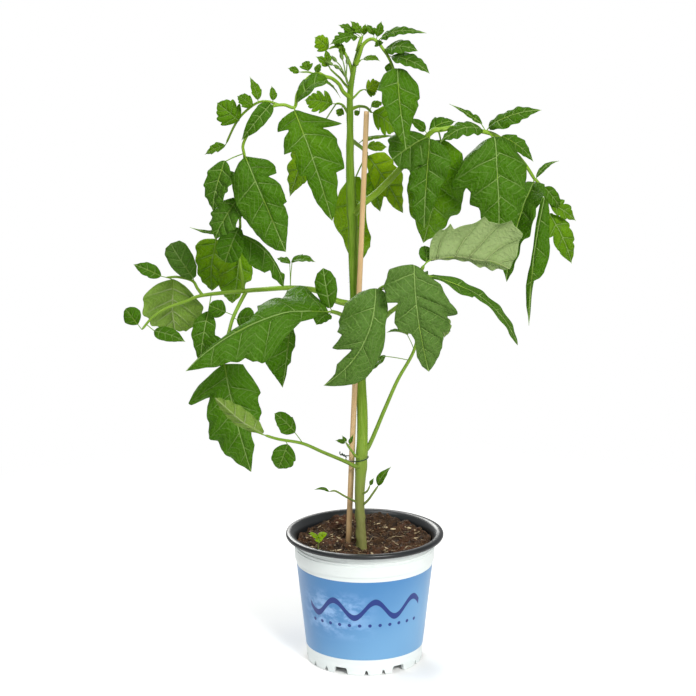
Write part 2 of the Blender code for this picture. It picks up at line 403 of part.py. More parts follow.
# Flower truss: a peduncle with one pedicel and bud for each of these bud places.
TRUSS_LINE = [(-11, 1, 441), (-13, -3, 444), (-14, -6, 448)]
TRUSS_BUDS = [(-22, -9, 461), (-20, -12, 456), (-25, -7, 458), (-17, -3, 462), (-13, -5, 459)]
BUD_RADIUS = 0.9

LEAVES = {
    "low_left_leaf": LOW_LEFT, "low_right_leaf": LOW_RIGHT, "front_right_leaf": FRONT_RIGHT,
    "front_left_leaf": FRONT_LEFT, "long_left_leaf": LONG_LEFT, "upper_left_leaf": UPPER_LEFT,
    "young_left_leaf": YOUNG_LEFT, "top_right_leaf": TOP_RIGHT, "tip_leaf": TIP_LEAF,
    "upper_small_leaf": UPPER_SMALL, "top_small_leaf": TOP_SMALL, "right_leaf": RIGHT,
    "back_right_leaf": BACK_RIGHT, "back_small_leaf": BACK_SMALL, "back_leaf": BACK,
    "back_left_leaf": BACK_LEFT, "seed_leaf_left": SEED_LEAF_LEFT,
    "seed_leaf_right": SEED_LEAF_RIGHT, "base_shoot": BASE_SHOOT, "side_shoot": SIDE_SHOOT,
}

LEAF_GREEN = (0.10, 0.26, 0.03)
COLOURS = {
    "pot": (0.82, 0.84, 0.85), "soil": (0.09, 0.045, 0.025), "stem": (0.26, 0.42, 0.08),
    "stake": (0.66, 0.45, 0.27), "wire_tie": (0.03, 0.09, 0.04), "flower_truss": (0.09, 0.2, 0.04),
    "weed_seedling": (0.22, 0.5, 0.04),
}
ROUGHNESS = {"pot": 0.4, "soil": 0.95, "stake": 0.7}
PLANT_ROUGHNESS = 0.55


def clear_scene():
    """Remove every object that the file opened with."""
    for obj in list(bpy.data.objects):
        bpy.data.objects.remove(obj, do_unlink=True)


def unit(vector):
    """Give the vector its unit length."""
    vector = np.asarray(vector, float)
    return vector / np.linalg.norm(vector)


def smooth_line(points, step):
    """Read points about step apart from the Catmull-Rom curve through the given ones."""
    points = np.asarray(points, float)
    ends = [2 * points[0] - points[1]], [2 * points[-1] - points[-2]]
    held = np.vstack([ends[0], points, ends[1]])
    fine = []
    for a, b, c, d in zip(held[:-3], held[1:-2], held[2:-1], held[3:]):
        t = np.linspace(0, 1, 12, endpoint=False)[:, None]
        fine.append(0.5 * (2 * b + (c - a) * t + (2 * a - 5 * b + 4 * c - d) * t ** 2
                           + (3 * b - a - 3 * c + d) * t ** 3))
    fine = np.vstack(fine + [points[-1:]])
    along = np.concatenate([[0], np.cumsum(np.linalg.norm(np.diff(fine, axis=0), axis=1))])
    count = max(3, round(along[-1] / step) + 1)
    places = np.linspace(0, along[-1], count)
    return np.column_stack([np.interp(places, along, fine[:, k]) for k in range(3)])


def new_object(name, bm, collection=None):
    """Make a mesh object of the bmesh, with faces outwards and round shading."""
    bmesh.ops.recalc_face_normals(bm, faces=bm.faces)
    mesh = bpy.data.meshes.new(name)
    bm.to_mesh(mesh)
    bm.free()
    mesh.shade_smooth()
    mesh.set_sharp_from_angle(angle=math.radians(40))
    obj = bpy.data.objects.new(name, mesh)
    (collection or bpy.context.scene.collection).objects.link(obj)
    return obj


def add_rings(bm, rings, ribs=()):
    """Bridge rings of equal size into a tube and close both its ends.

    A blade names the columns of its midrib as ribs. The quads on either side of them are
    split from the margin behind to the midrib ahead, on the upper and the lower face
    alike, so that the two faces of a warped blade keep their distance.
    """
    rows = [[bm.verts.new(np.asarray(p) * MM) for p in ring] for ring in rings]
    count = len(rows[0])
    for lower, upper in zip(rows[:-1], rows[1:]):
        for k in range(count):
            n = (k + 1) % count
            if n in ribs:
                bm.faces.new((lower[k], lower[n], upper[n]))
                bm.faces.new((lower[k], upper[n], upper[k]))
            elif k in ribs:
                bm.faces.new((lower[k], lower[n], upper[k]))
                bm.faces.new((lower[n], upper[n], upper[k]))
            else:
                bm.faces.new((lower[k], lower[n], upper[n], upper[k]))
    bm.faces.new(rows[0][::-1])
    bm.faces.new(rows[-1])


def add_tube(bm, line, radii, sides):
    """Add a closed tube of the given radii along a line, with rings that don't twist."""
    line = np.asarray(line, float)
    radii = np.interp(np.linspace(0, 1, len(line)), np.linspace(0, 1, len(radii)), radii)
    tangents = np.gradient(line, axis=0)
    across = np.cross(tangents[0], (0.31, 0.95, 0.1))
    turns = np.arange(sides) * 2 * math.pi / sides
    rings = []
    for point, tangent, radius in zip(line, tangents, radii):
        tangent = unit(tangent)
        across = unit(across - tangent * (across @ tangent))
        upward = np.cross(tangent, across)
        rings.append([point + radius * (math.cos(a) * across + math.sin(a) * upward) for a in turns])
    add_rings(bm, rings)


def lobe_dip(phase):
    """Depth of the outline between two vein ends: 0 at a vein's end, 1 at the sinus."""
    f = phase - np.floor(phase)
    return np.where(f < SINUS, f / SINUS, (1 - f) / (1 - SINUS)) ** 0.8


def vein_angle(u):
    """Angle between the midrib and the lateral veins, which closes towards the tip."""
    return VEIN_NEAR_TIP + (VEIN_NEAR_BASE - VEIN_NEAR_TIP) * (1 - u) ** 1.3


def egg_margin(leaflet, length):
    """Corners of a leaflet's margin: an egg shape, cut back between the vein ends.

    The lobes are deepest near the foot, and a small leaflet has none.
    """
    if length > LOBED_OVER:
        ends = (np.arange(leaflet.veins) + 1 - FIRST_VEIN) / leaflet.veins
        dips = (np.arange(leaflet.veins) + SINUS - FIRST_VEIN) / leaflet.veins
        u = np.sort(np.concatenate([[0, 1], ends, dips[dips > 0.04]]))
        depth = 0.6 * leaflet.lobes * np.clip(1.75 - 2.1 * u, 0.12, 1.5)
        cut = 1 - depth * lobe_dip(u * leaflet.veins + FIRST_VEIN)
    else:
        u = np.array(PLAIN_PLACES)
        cut = 1
    half = leaflet.width / length * cut * u ** 0.5 * (1 - u) ** 1.15 / EGG_PEAK
    return u, np.column_stack([u + half * np.cos(vein_angle(u)), half * np.sin(vein_angle(u))])


def own_margin(corners):
    """Corners of a margin set by hand, and where the vein of each leaves the midrib."""
    points = np.array(corners)
    u = np.zeros(len(points))
    for _ in range(20):
        u = np.clip(0.5 * u + 0.5 * (points[:, 0] - points[:, 1] / np.tan(vein_angle(u))), 0, 1)
    room = CORNER_STEP * np.arange(1, len(u) + 1)
    u = np.maximum.accumulate(u - room) + room
    u = np.minimum(u, 1 - room[::-1] + CORNER_STEP)
    return np.concatenate([[0], u]), np.vstack([[0, 0.01], points])


def blade_margins(leaflet, length):
    """Places of a blade's sections on the midrib, and each section's two ends."""
    sides = [own_margin(side) if side else egg_margin(leaflet, length)
             for side in (leaflet.left, leaflet.right)]
    if leaflet.left or leaflet.right:
        places = [0.0]
        for u in np.sort(np.concatenate([sides[0][0], sides[1][0]])):
            if u - places[-1] >= 0.7 * CORNER_STEP:
                places.append(u)
        places[-1] = 1.0
    else:
        places = sides[0][0]
    ends = [np.column_stack([np.interp(places, u, points[:, k]) for k in (0, 1)]) for u, points in sides]
    return np.array(places), ends


def blade_rings(leaflet, start):
    """Cross sections of a leaflet, from inside its stalk to the blade's tip.

    The lateral veins leave the midrib at an angle, so each section's ends lie forward of
    its middle. A small blade is four points round, thick at its midrib, and one with
    lobes is six, as thick at its edge.
    """
    reach = np.asarray(leaflet.reach, float)
    length = np.linalg.norm(reach)
    ahead = reach / length
    face = np.asarray(leaflet.face, float)
    face = unit(face - ahead * (face @ ahead))
    foot = start + np.asarray(leaflet.stalk, float)
    u, ends = blade_margins(leaflet, length)
    arch = 4 * u * (1 - u) * length
    mid = foot + np.outer(u, reach) + np.outer(arch * leaflet.bow, face)
    mid += np.outer(arch * leaflet.sway, np.cross(ahead, face))
    slope = np.gradient(mid, u, axis=0)
    fold = math.radians(leaflet.fold)
    lobed = length > LOBED_OVER or bool(leaflet.left or leaflet.right)
    rings = []
    for k, where in enumerate(u):
        tangent = unit(slope[k])
        side = unit(np.cross(tangent, face))
        rise = np.cross(side, tangent)
        turn = math.radians(leaflet.twist) * where
        side, rise = (math.cos(turn) * side + math.sin(turn) * rise,
                      math.cos(turn) * rise - math.sin(turn) * side)
        up = rise * (BLADE_THICK / 2 if 0 < k < len(u) - 1 else PETIOLULE_RADIUS)
        tips = []
        for sign, end in zip((-1, 1), ends):
            ahead_of, beside = end[k] * length - (where * length, 0)
            beside = max(beside, PETIOLULE_RADIUS)
            out = sign * math.cos(fold) * side + math.sin(fold) * rise
            tips.append(mid[k] + beside * out + ahead_of * tangent)
        if lobed:
            edge = rise * BLADE_THICK / 2
            rings.append([tips[0] + edge, tips[0] - edge, mid[k] - up, tips[1] - edge, tips[1] + edge,
                          mid[k] + up])
        else:
            rings.append([tips[0], mid[k] - up, tips[1], mid[k] + up])
    if np.linalg.norm(foot - start) < SHORT_STALK:
        rings[0] = [point + start - foot for point in rings[0]]
        return rings
    turn = Vector(unit(slope[0])).rotation_difference(Vector(unit(foot - start)))
    half_turn = Quaternion().slerp(turn, 0.5)
    spokes = [Vector(point - foot) for point in rings[0]]
    rings[0] = [foot + np.array(half_turn @ spoke) for spoke in spokes]
    return [[start + np.array(turn @ spoke) for spoke in spokes]] + rings


def hide_cutter(obj):
    """Keep a cutter out of the model."""
    obj.hide_render = True
    obj.display_type = "WIRE"


def add_boolean(obj, cutter, operation, solver="EXACT"):
    """Cut the object with another object, or join it to each object of a collection.

    Leaves take the manifold solver, because the exact one leaves open edges where thin
    blades cross each other at a small angle.
    """
    modifier = obj.modifiers.new(operation.lower(), "BOOLEAN")
    modifier.operation = operation
    modifier.solver = solver
    if isinstance(cutter, bpy.types.Collection):
        modifier.operand_type = "COLLECTION"
        modifier.collection = cutter
    else:
        modifier.object = cutter


def build_leaf(name, stalks, stem_room):
    """Join a leaf's stalks and blades into one solid, and cut its foot to the stem."""
    leaf = None
    blades = bpy.data.collections.new(name + "_blades")
    bpy.context.scene.collection.children.link(blades)
    for index, stalk in enumerate(stalks):
        line = smooth_line(stalk.line, STALK_STEP)
        bm = bmesh.new()
        add_tube(bm, line, stalk.radii, STALK_SIDES)
        if leaf is None:
            leaf = new_object(name, bm)
        else:
            hide_cutter(new_object(f"{name}_stalk_{index}", bm, blades))
        along = np.linspace(0, 1, len(line))
        for number, leaflet in enumerate(stalk.leaflets):
            start = np.array([np.interp(leaflet.at, along, line[:, k]) for k in range(3)])
            bm = bmesh.new()
            rings = blade_rings(leaflet, start)
            add_rings(bm, rings, LOBED_RIBS if len(rings[0]) == 6 else PLAIN_RIBS)
            hide_cutter(new_object(f"{name}_blade_{index}_{number}", bm, blades))
    add_boolean(leaf, blades, "UNION", "MANIFOLD")
    if stem_room:
        add_boolean(leaf, stem_room, "DIFFERENCE", "MANIFOLD")
    return leaf


def turned(name, profile, segments):
    """Turn a closed profile of (radius, height) points about the pot's axis."""
    bm = bmesh.new()
    rings = []
    for k in range(segments):
        angle = 2 * math.pi * k / segments
        rings.append([bm.verts.new((r * math.cos(angle) * MM, r * math.sin(angle) * MM, z * MM))
                      for r, z in profile])
    count = len(profile)
    for k, ring in enumerate(rings):
        following = rings[(k + 1) % segments]
        for j in range(count):
            bm.faces.new((ring[j], following[j], following[(j + 1) % count], ring[(j + 1) % count]))
    return new_object(name, bm)


def build_pot():
    """Turn the pot's wall, cut the notches in its foot and the drain holes in its floor."""
    outer = [(FOOT_RADIUS, 0), (44.6, 7.0), (44.3, 8.2), (44.6, 11.0), (52.0, 77.0), (53.0, 80.6),
             (53.5, 90.6), (52.9, 92.2), (52.9, 95.8), (RIM_RADIUS, 96.6), (RIM_RADIUS, 99.2),
             (59.2, POT_HEIGHT), (55.4, POT_HEIGHT)]
    inner = [(51.9, 95.0), (51.9, 81.0), (50.9, 77.0), (43.3, FLOOR_TOP), (6.0, FLOOR_TOP),
             (6.0, FLOOR_Z), (FOOT_RADIUS - FOOT_WIDTH, FLOOR_Z), (FOOT_RADIUS - FOOT_WIDTH, 0)]
    pot = turned("pot", outer + inner, POT_SEGMENTS)
    bm = bmesh.new()
    for k in range(FOOT_NOTCHES):
        angle = NOTCH_TURN + 2 * math.pi * k / FOOT_NOTCHES - math.pi / 2
        place = np.array([math.cos(angle), math.sin(angle), 0])
        along = np.array([-math.sin(angle), math.cos(angle), 0])
        half = NOTCH_WIDTH / 2
        arch = [(-half, -1), (half, -1), (half, 1.5), (half * 0.6, NOTCH_HEIGHT),
                (-half * 0.6, NOTCH_HEIGHT), (-half, 1.5)]
        add_rings(bm, [[place * r + along * a + np.array([0, 0, z]) for a, z in arch]
                       for r in (FOOT_RADIUS - FOOT_WIDTH - 3, FOOT_RADIUS + 3)])
    for k in range(DRAINS):
        angle = 2 * math.pi * k / DRAINS
        foot = np.array([math.cos(angle), math.sin(angle), 0]) * DRAIN_CIRCLE
        add_tube(bm, [foot + (0, 0, z) for z in (FLOOR_Z - 2, FLOOR_TOP - 0.6, FLOOR_TOP + 2)],
                 (DRAIN_RADIUS,), 10)
    cutter = new_object("pot_cutter", bm)
    hide_cutter(cutter)
    add_boolean(pot, cutter, "DIFFERENCE")
    return pot


def soil_height(x, y):
    """Height of the soil's surface: highest towards the back, with gentle heaves."""
    rise = SOIL_RISE * (x * x + y * y) / 50 ** 2 + 0.05 * y + SOIL_BANK * max(0.0, (y - 20) / 30) ** 1.5
    rough = math.sin(x * 0.33 + 1.1) * math.cos(y * 0.29) + 0.6 * math.sin(x * 0.61 - y * 0.47)
    return SOIL_Z + rise + SOIL_ROUGH * rough


def build_soil(cutters):
    """Fill the pot with soil, with a hole for each thing that stands in it."""
    bm = bmesh.new()
    side = [(43.2 - GAP, FLOOR_TOP + GAP), (50.7 - GAP, 77.0), (51.7 - GAP, 81.0)]
    turns = [2 * math.pi * k / SOIL_SEGMENTS for k in range(SOIL_SEGMENTS)]
    rings = [[(r * math.cos(a), r * math.sin(a), z) for a in turns] for r, z in side]
    for k in range(SOIL_RINGS):
        radius = (51.7 - GAP) * (1 - k / SOIL_RINGS)
        rings.append([(radius * math.cos(a), radius * math.sin(a),
                       soil_height(radius * math.cos(a), radius * math.sin(a))) for a in turns])
    add_rings(bm, rings)
    soil = new_object("soil", bm)
    for cutter in cutters:
        add_boolean(soil, cutter, "DIFFERENCE")
    return soil


def build_stem():
    """Make the stem, and the room that it needs in the pieces round it."""
    solids = []
    for name, extra in (("stem", 0.0), ("stem_room", GAP)):
        line = smooth_line(STEM_LINE, STEM_STEP)
        if extra:
            line[0] -= (0, 0, GAP)
            line[-1] += (0, 0, GAP)
        along = np.linspace(0, 1, len(line))
        radii = np.interp(along, np.linspace(0, 1, len(STEM_RADII)), STEM_RADII) + extra
        bm = bmesh.new()
        add_tube(bm, line, radii, STEM_SIDES)
        solids.append(new_object(name, bm))
    hide_cutter(solids[1])
    return solids


def stake_point(z):
    """Place on the stake's axis at height z."""
    top, low = np.array(STAKE_TOP), np.array(STAKE_AT_SOIL)
    return low + (top - low) * (z - low[2]) / (top[2] - low[2])


def build_stake():
    """Make the stake with its cut point, and the room that it needs in the soil."""
    solids = []
    for name, extra in (("stake", 0.0), ("stake_room", GAP)):
        heights = [STAKE_FOOT_Z - extra, STAKE_FOOT_Z + STAKE_POINT, 120, 220, 320, STAKE_TOP[2] + extra]
        bm = bmesh.new()
        add_tube(bm, [stake_point(z) for z in heights],
                 [0.8 + extra] + [r + extra for r in np.linspace(*STAKE_RADII, 5)], 8)
        solids.append(new_object(name, bm))
    hide_cutter(solids[1])
    return solids


def build_tie():
    """Make the wire loop round stem and stake: a ring carried along an ellipse."""
    bm = bmesh.new()
    count, sides = 24, 5
    centre = np.array(TIE_CENTRE)
    rings = []
    for k in range(count):
        a = 2 * math.pi * k / count
        flat = np.array([TIE_REACH[0] * math.cos(a), TIE_REACH[1] * math.sin(a)])
        outward = unit([math.cos(a) / TIE_REACH[0], math.sin(a) / TIE_REACH[1]])
        ring = []
        for j in range(sides):
            b = 2 * math.pi * j / sides
            x, y = flat + outward * TIE_WIRE * math.cos(b)
            ring.append((centre[0] + x * math.cos(TIE_TURN) - y * math.sin(TIE_TURN),
                         centre[1] + x * math.sin(TIE_TURN) + y * math.cos(TIE_TURN),
                         centre[2] + TIE_WIRE * math.sin(b)))
        rings.append([bm.verts.new(np.asarray(p) * MM) for p in ring])
    for k, ring in enumerate(rings):
        following = rings[(k + 1) % count]
        for j in range(sides):
            bm.faces.new((ring[j], following[j], following[(j + 1) % sides], ring[(j + 1) % sides]))
    return new_object("wire_tie", bm)


def build_truss(stem_room):
    """Make the flower truss: a peduncle, arched pedicels and their closed buds."""
    bm = bmesh.new()
    add_tube(bm, smooth_line(TRUSS_LINE, 3.0), (0.9, 0.8), STALK_SIDES)
    truss = new_object("flower_truss", bm)
    buds = bpy.data.collections.new("flower_truss_buds")
    bpy.context.scene.collection.children.link(buds)
    fork = np.array(TRUSS_LINE[-1], float)
    for number, bud in enumerate(TRUSS_BUDS):
        bud = np.array(bud, float)
        bend = (fork + bud) / 2 + (0, 0, 2.0)
        tail = unit(bud - bend)
        bm = bmesh.new()
        add_tube(bm, [fork - (0, 0, 0.6), bend, bud - tail * 1.4, bud, bud + tail * 2.0, bud + tail * 3.2],
                 (0.5, 0.5, 0.5, BUD_RADIUS, BUD_RADIUS, 0.35), 5)
        hide_cutter(new_object(f"flower_truss_bud_{number}", bm, buds))
    add_boolean(truss, buds, "UNION", "MANIFOLD")
    add_boolean(truss, stem_room, "DIFFERENCE", "MANIFOLD")
    return truss


def dress(obj):
    """Give a piece its own plain material."""
    material = bpy.data.materials.new(obj.name)
    material.use_nodes = True
    shader = material.node_tree.nodes["Principled BSDF"]
    shader.inputs["Base Color"].default_value = (*COLOURS.get(obj.name, LEAF_GREEN), 1)
    shader.inputs["Roughness"].default_value = ROUGHNESS.get(obj.name, PLANT_ROUGHNESS)
    shader.inputs["Metallic"].default_value = 0.0
    obj.data.materials.append(material)


def main():
    """Build every piece and stand the whole over its origin."""
    clear_scene()
    centre = bpy.data.objects.new("pot_axis", None)
    centre.location = (POT_AXIS[0] * MM, POT_AXIS[1] * MM, 0)
    bpy.context.collection.objects.link(centre)
    stem, stem_room = build_stem()
    stake, stake_room = build_stake()
    seedling = build_leaf("weed_seedling", SEEDLING, None)
    bm = bmesh.new()
    add_tube(bm, [(-35, -30, 84 - GAP), (-35, -30, 100)], (1.1,), STALK_SIDES)
    seedling_room = new_object("seedling_room", bm)
    hide_cutter(seedling_room)
    pieces = [stem, stake, seedling, build_pot(), build_soil((stem_room, stake_room, seedling_room)),
              build_tie(), build_truss(stem_room)]
    for name, stalks in LEAVES.items():
        pieces.append(build_leaf(name, stalks, stem_room))
    for piece in pieces:
        dress(piece)
    for obj in bpy.data.objects:
        if obj is not centre:
            obj.parent = centre


main()
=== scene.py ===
"""Looks of a staked young tomato plant in its nursery pot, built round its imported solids.

Lengths in the tables below are millimetres from the pot's axis at ground level, +X to
the right of the plant's front, +Y to its back and +Z up. Meshes hold metres in the
frame's own axes.
"""
import logging
import math
from collections import defaultdict
from dataclasses import dataclass
from enum import Enum

import bmesh
import bpy
import numpy as np
from mathutils import Matrix, Vector


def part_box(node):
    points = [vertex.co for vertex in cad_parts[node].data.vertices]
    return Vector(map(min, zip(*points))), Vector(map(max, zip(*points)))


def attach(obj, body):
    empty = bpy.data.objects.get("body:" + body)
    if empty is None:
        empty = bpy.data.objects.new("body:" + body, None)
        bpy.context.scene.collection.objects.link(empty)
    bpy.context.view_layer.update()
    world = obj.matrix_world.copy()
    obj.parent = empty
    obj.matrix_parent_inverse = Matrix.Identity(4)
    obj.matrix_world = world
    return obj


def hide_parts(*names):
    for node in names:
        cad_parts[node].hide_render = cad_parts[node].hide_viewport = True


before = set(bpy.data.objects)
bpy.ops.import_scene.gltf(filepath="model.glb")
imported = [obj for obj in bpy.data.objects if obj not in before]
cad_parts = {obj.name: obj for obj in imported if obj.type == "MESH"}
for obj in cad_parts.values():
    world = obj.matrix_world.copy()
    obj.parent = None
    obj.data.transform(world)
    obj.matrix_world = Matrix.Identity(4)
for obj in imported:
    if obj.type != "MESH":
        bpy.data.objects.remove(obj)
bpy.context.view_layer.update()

LOG = logging.getLogger("tomato_plant")
MM = 0.001
FULL_TURN = 2 * math.pi
POT_LOW, POT_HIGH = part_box("pot")
POT_AXIS = np.array([(POT_LOW.x + POT_HIGH.x) / 2, (POT_LOW.y + POT_HIGH.y) / 2, 0.0])
Vec = tuple[float, float, float]
Colour = tuple[float, float, float]


# ---------------------------------------------------------------- the plant's layout

@dataclass(frozen=True)
class Leaflet:
    """One blade: it starts at stalk from its place on the rachis and reaches to its tip.

    at is the place along the rachis, face the way the upper side looks. tone runs from
    -2, pale and young, over 0, mature, to 1, aged blue green. On the back leaflets the pale
    colour near -2 also paints the glow of backlight, and the aged colour near 1 is lightened
    and blued as a painted sheen. bow and sway say how far the midrib rises and bows left as
    shares of its length, fold the degrees that the halves lift, twist the degrees that the
    blade turns by its tip. left and right are the corners of the margin from the foot to the
    tip, each how far along the midrib and how far out from it, as shares of the length;
    without them the margin is an egg shape with lobes.
    """

    at: float
    stalk: Vec
    reach: Vec
    width: float
    face: Vec
    tone: float = 0.0
    bow: float = 0.08
    fold: float = 12.0
    lobes: float = 0.3
    veins: int = 5
    sway: float = 0.0
    twist: float = 0.0
    left: tuple[tuple[float, float], ...] = ()
    right: tuple[tuple[float, float], ...] = ()

    @property
    def length(self) -> float:
        """The straight distance from the blade's foot to its tip."""
        return float(np.linalg.norm(self.reach))


@dataclass(frozen=True)
class Stalk:
    """A petiole, rachis or side stalk with the leaflets on it."""

    line: tuple[Vec, ...]
    radii: tuple[float, ...]
    leaflets: tuple[Leaflet, ...] = ()


@dataclass(frozen=True)
class LeafPlan:
    """A compound leaf: the CAD node that it stands for, and its stalks."""

    node: str
    stalks: tuple[Stalk, ...]
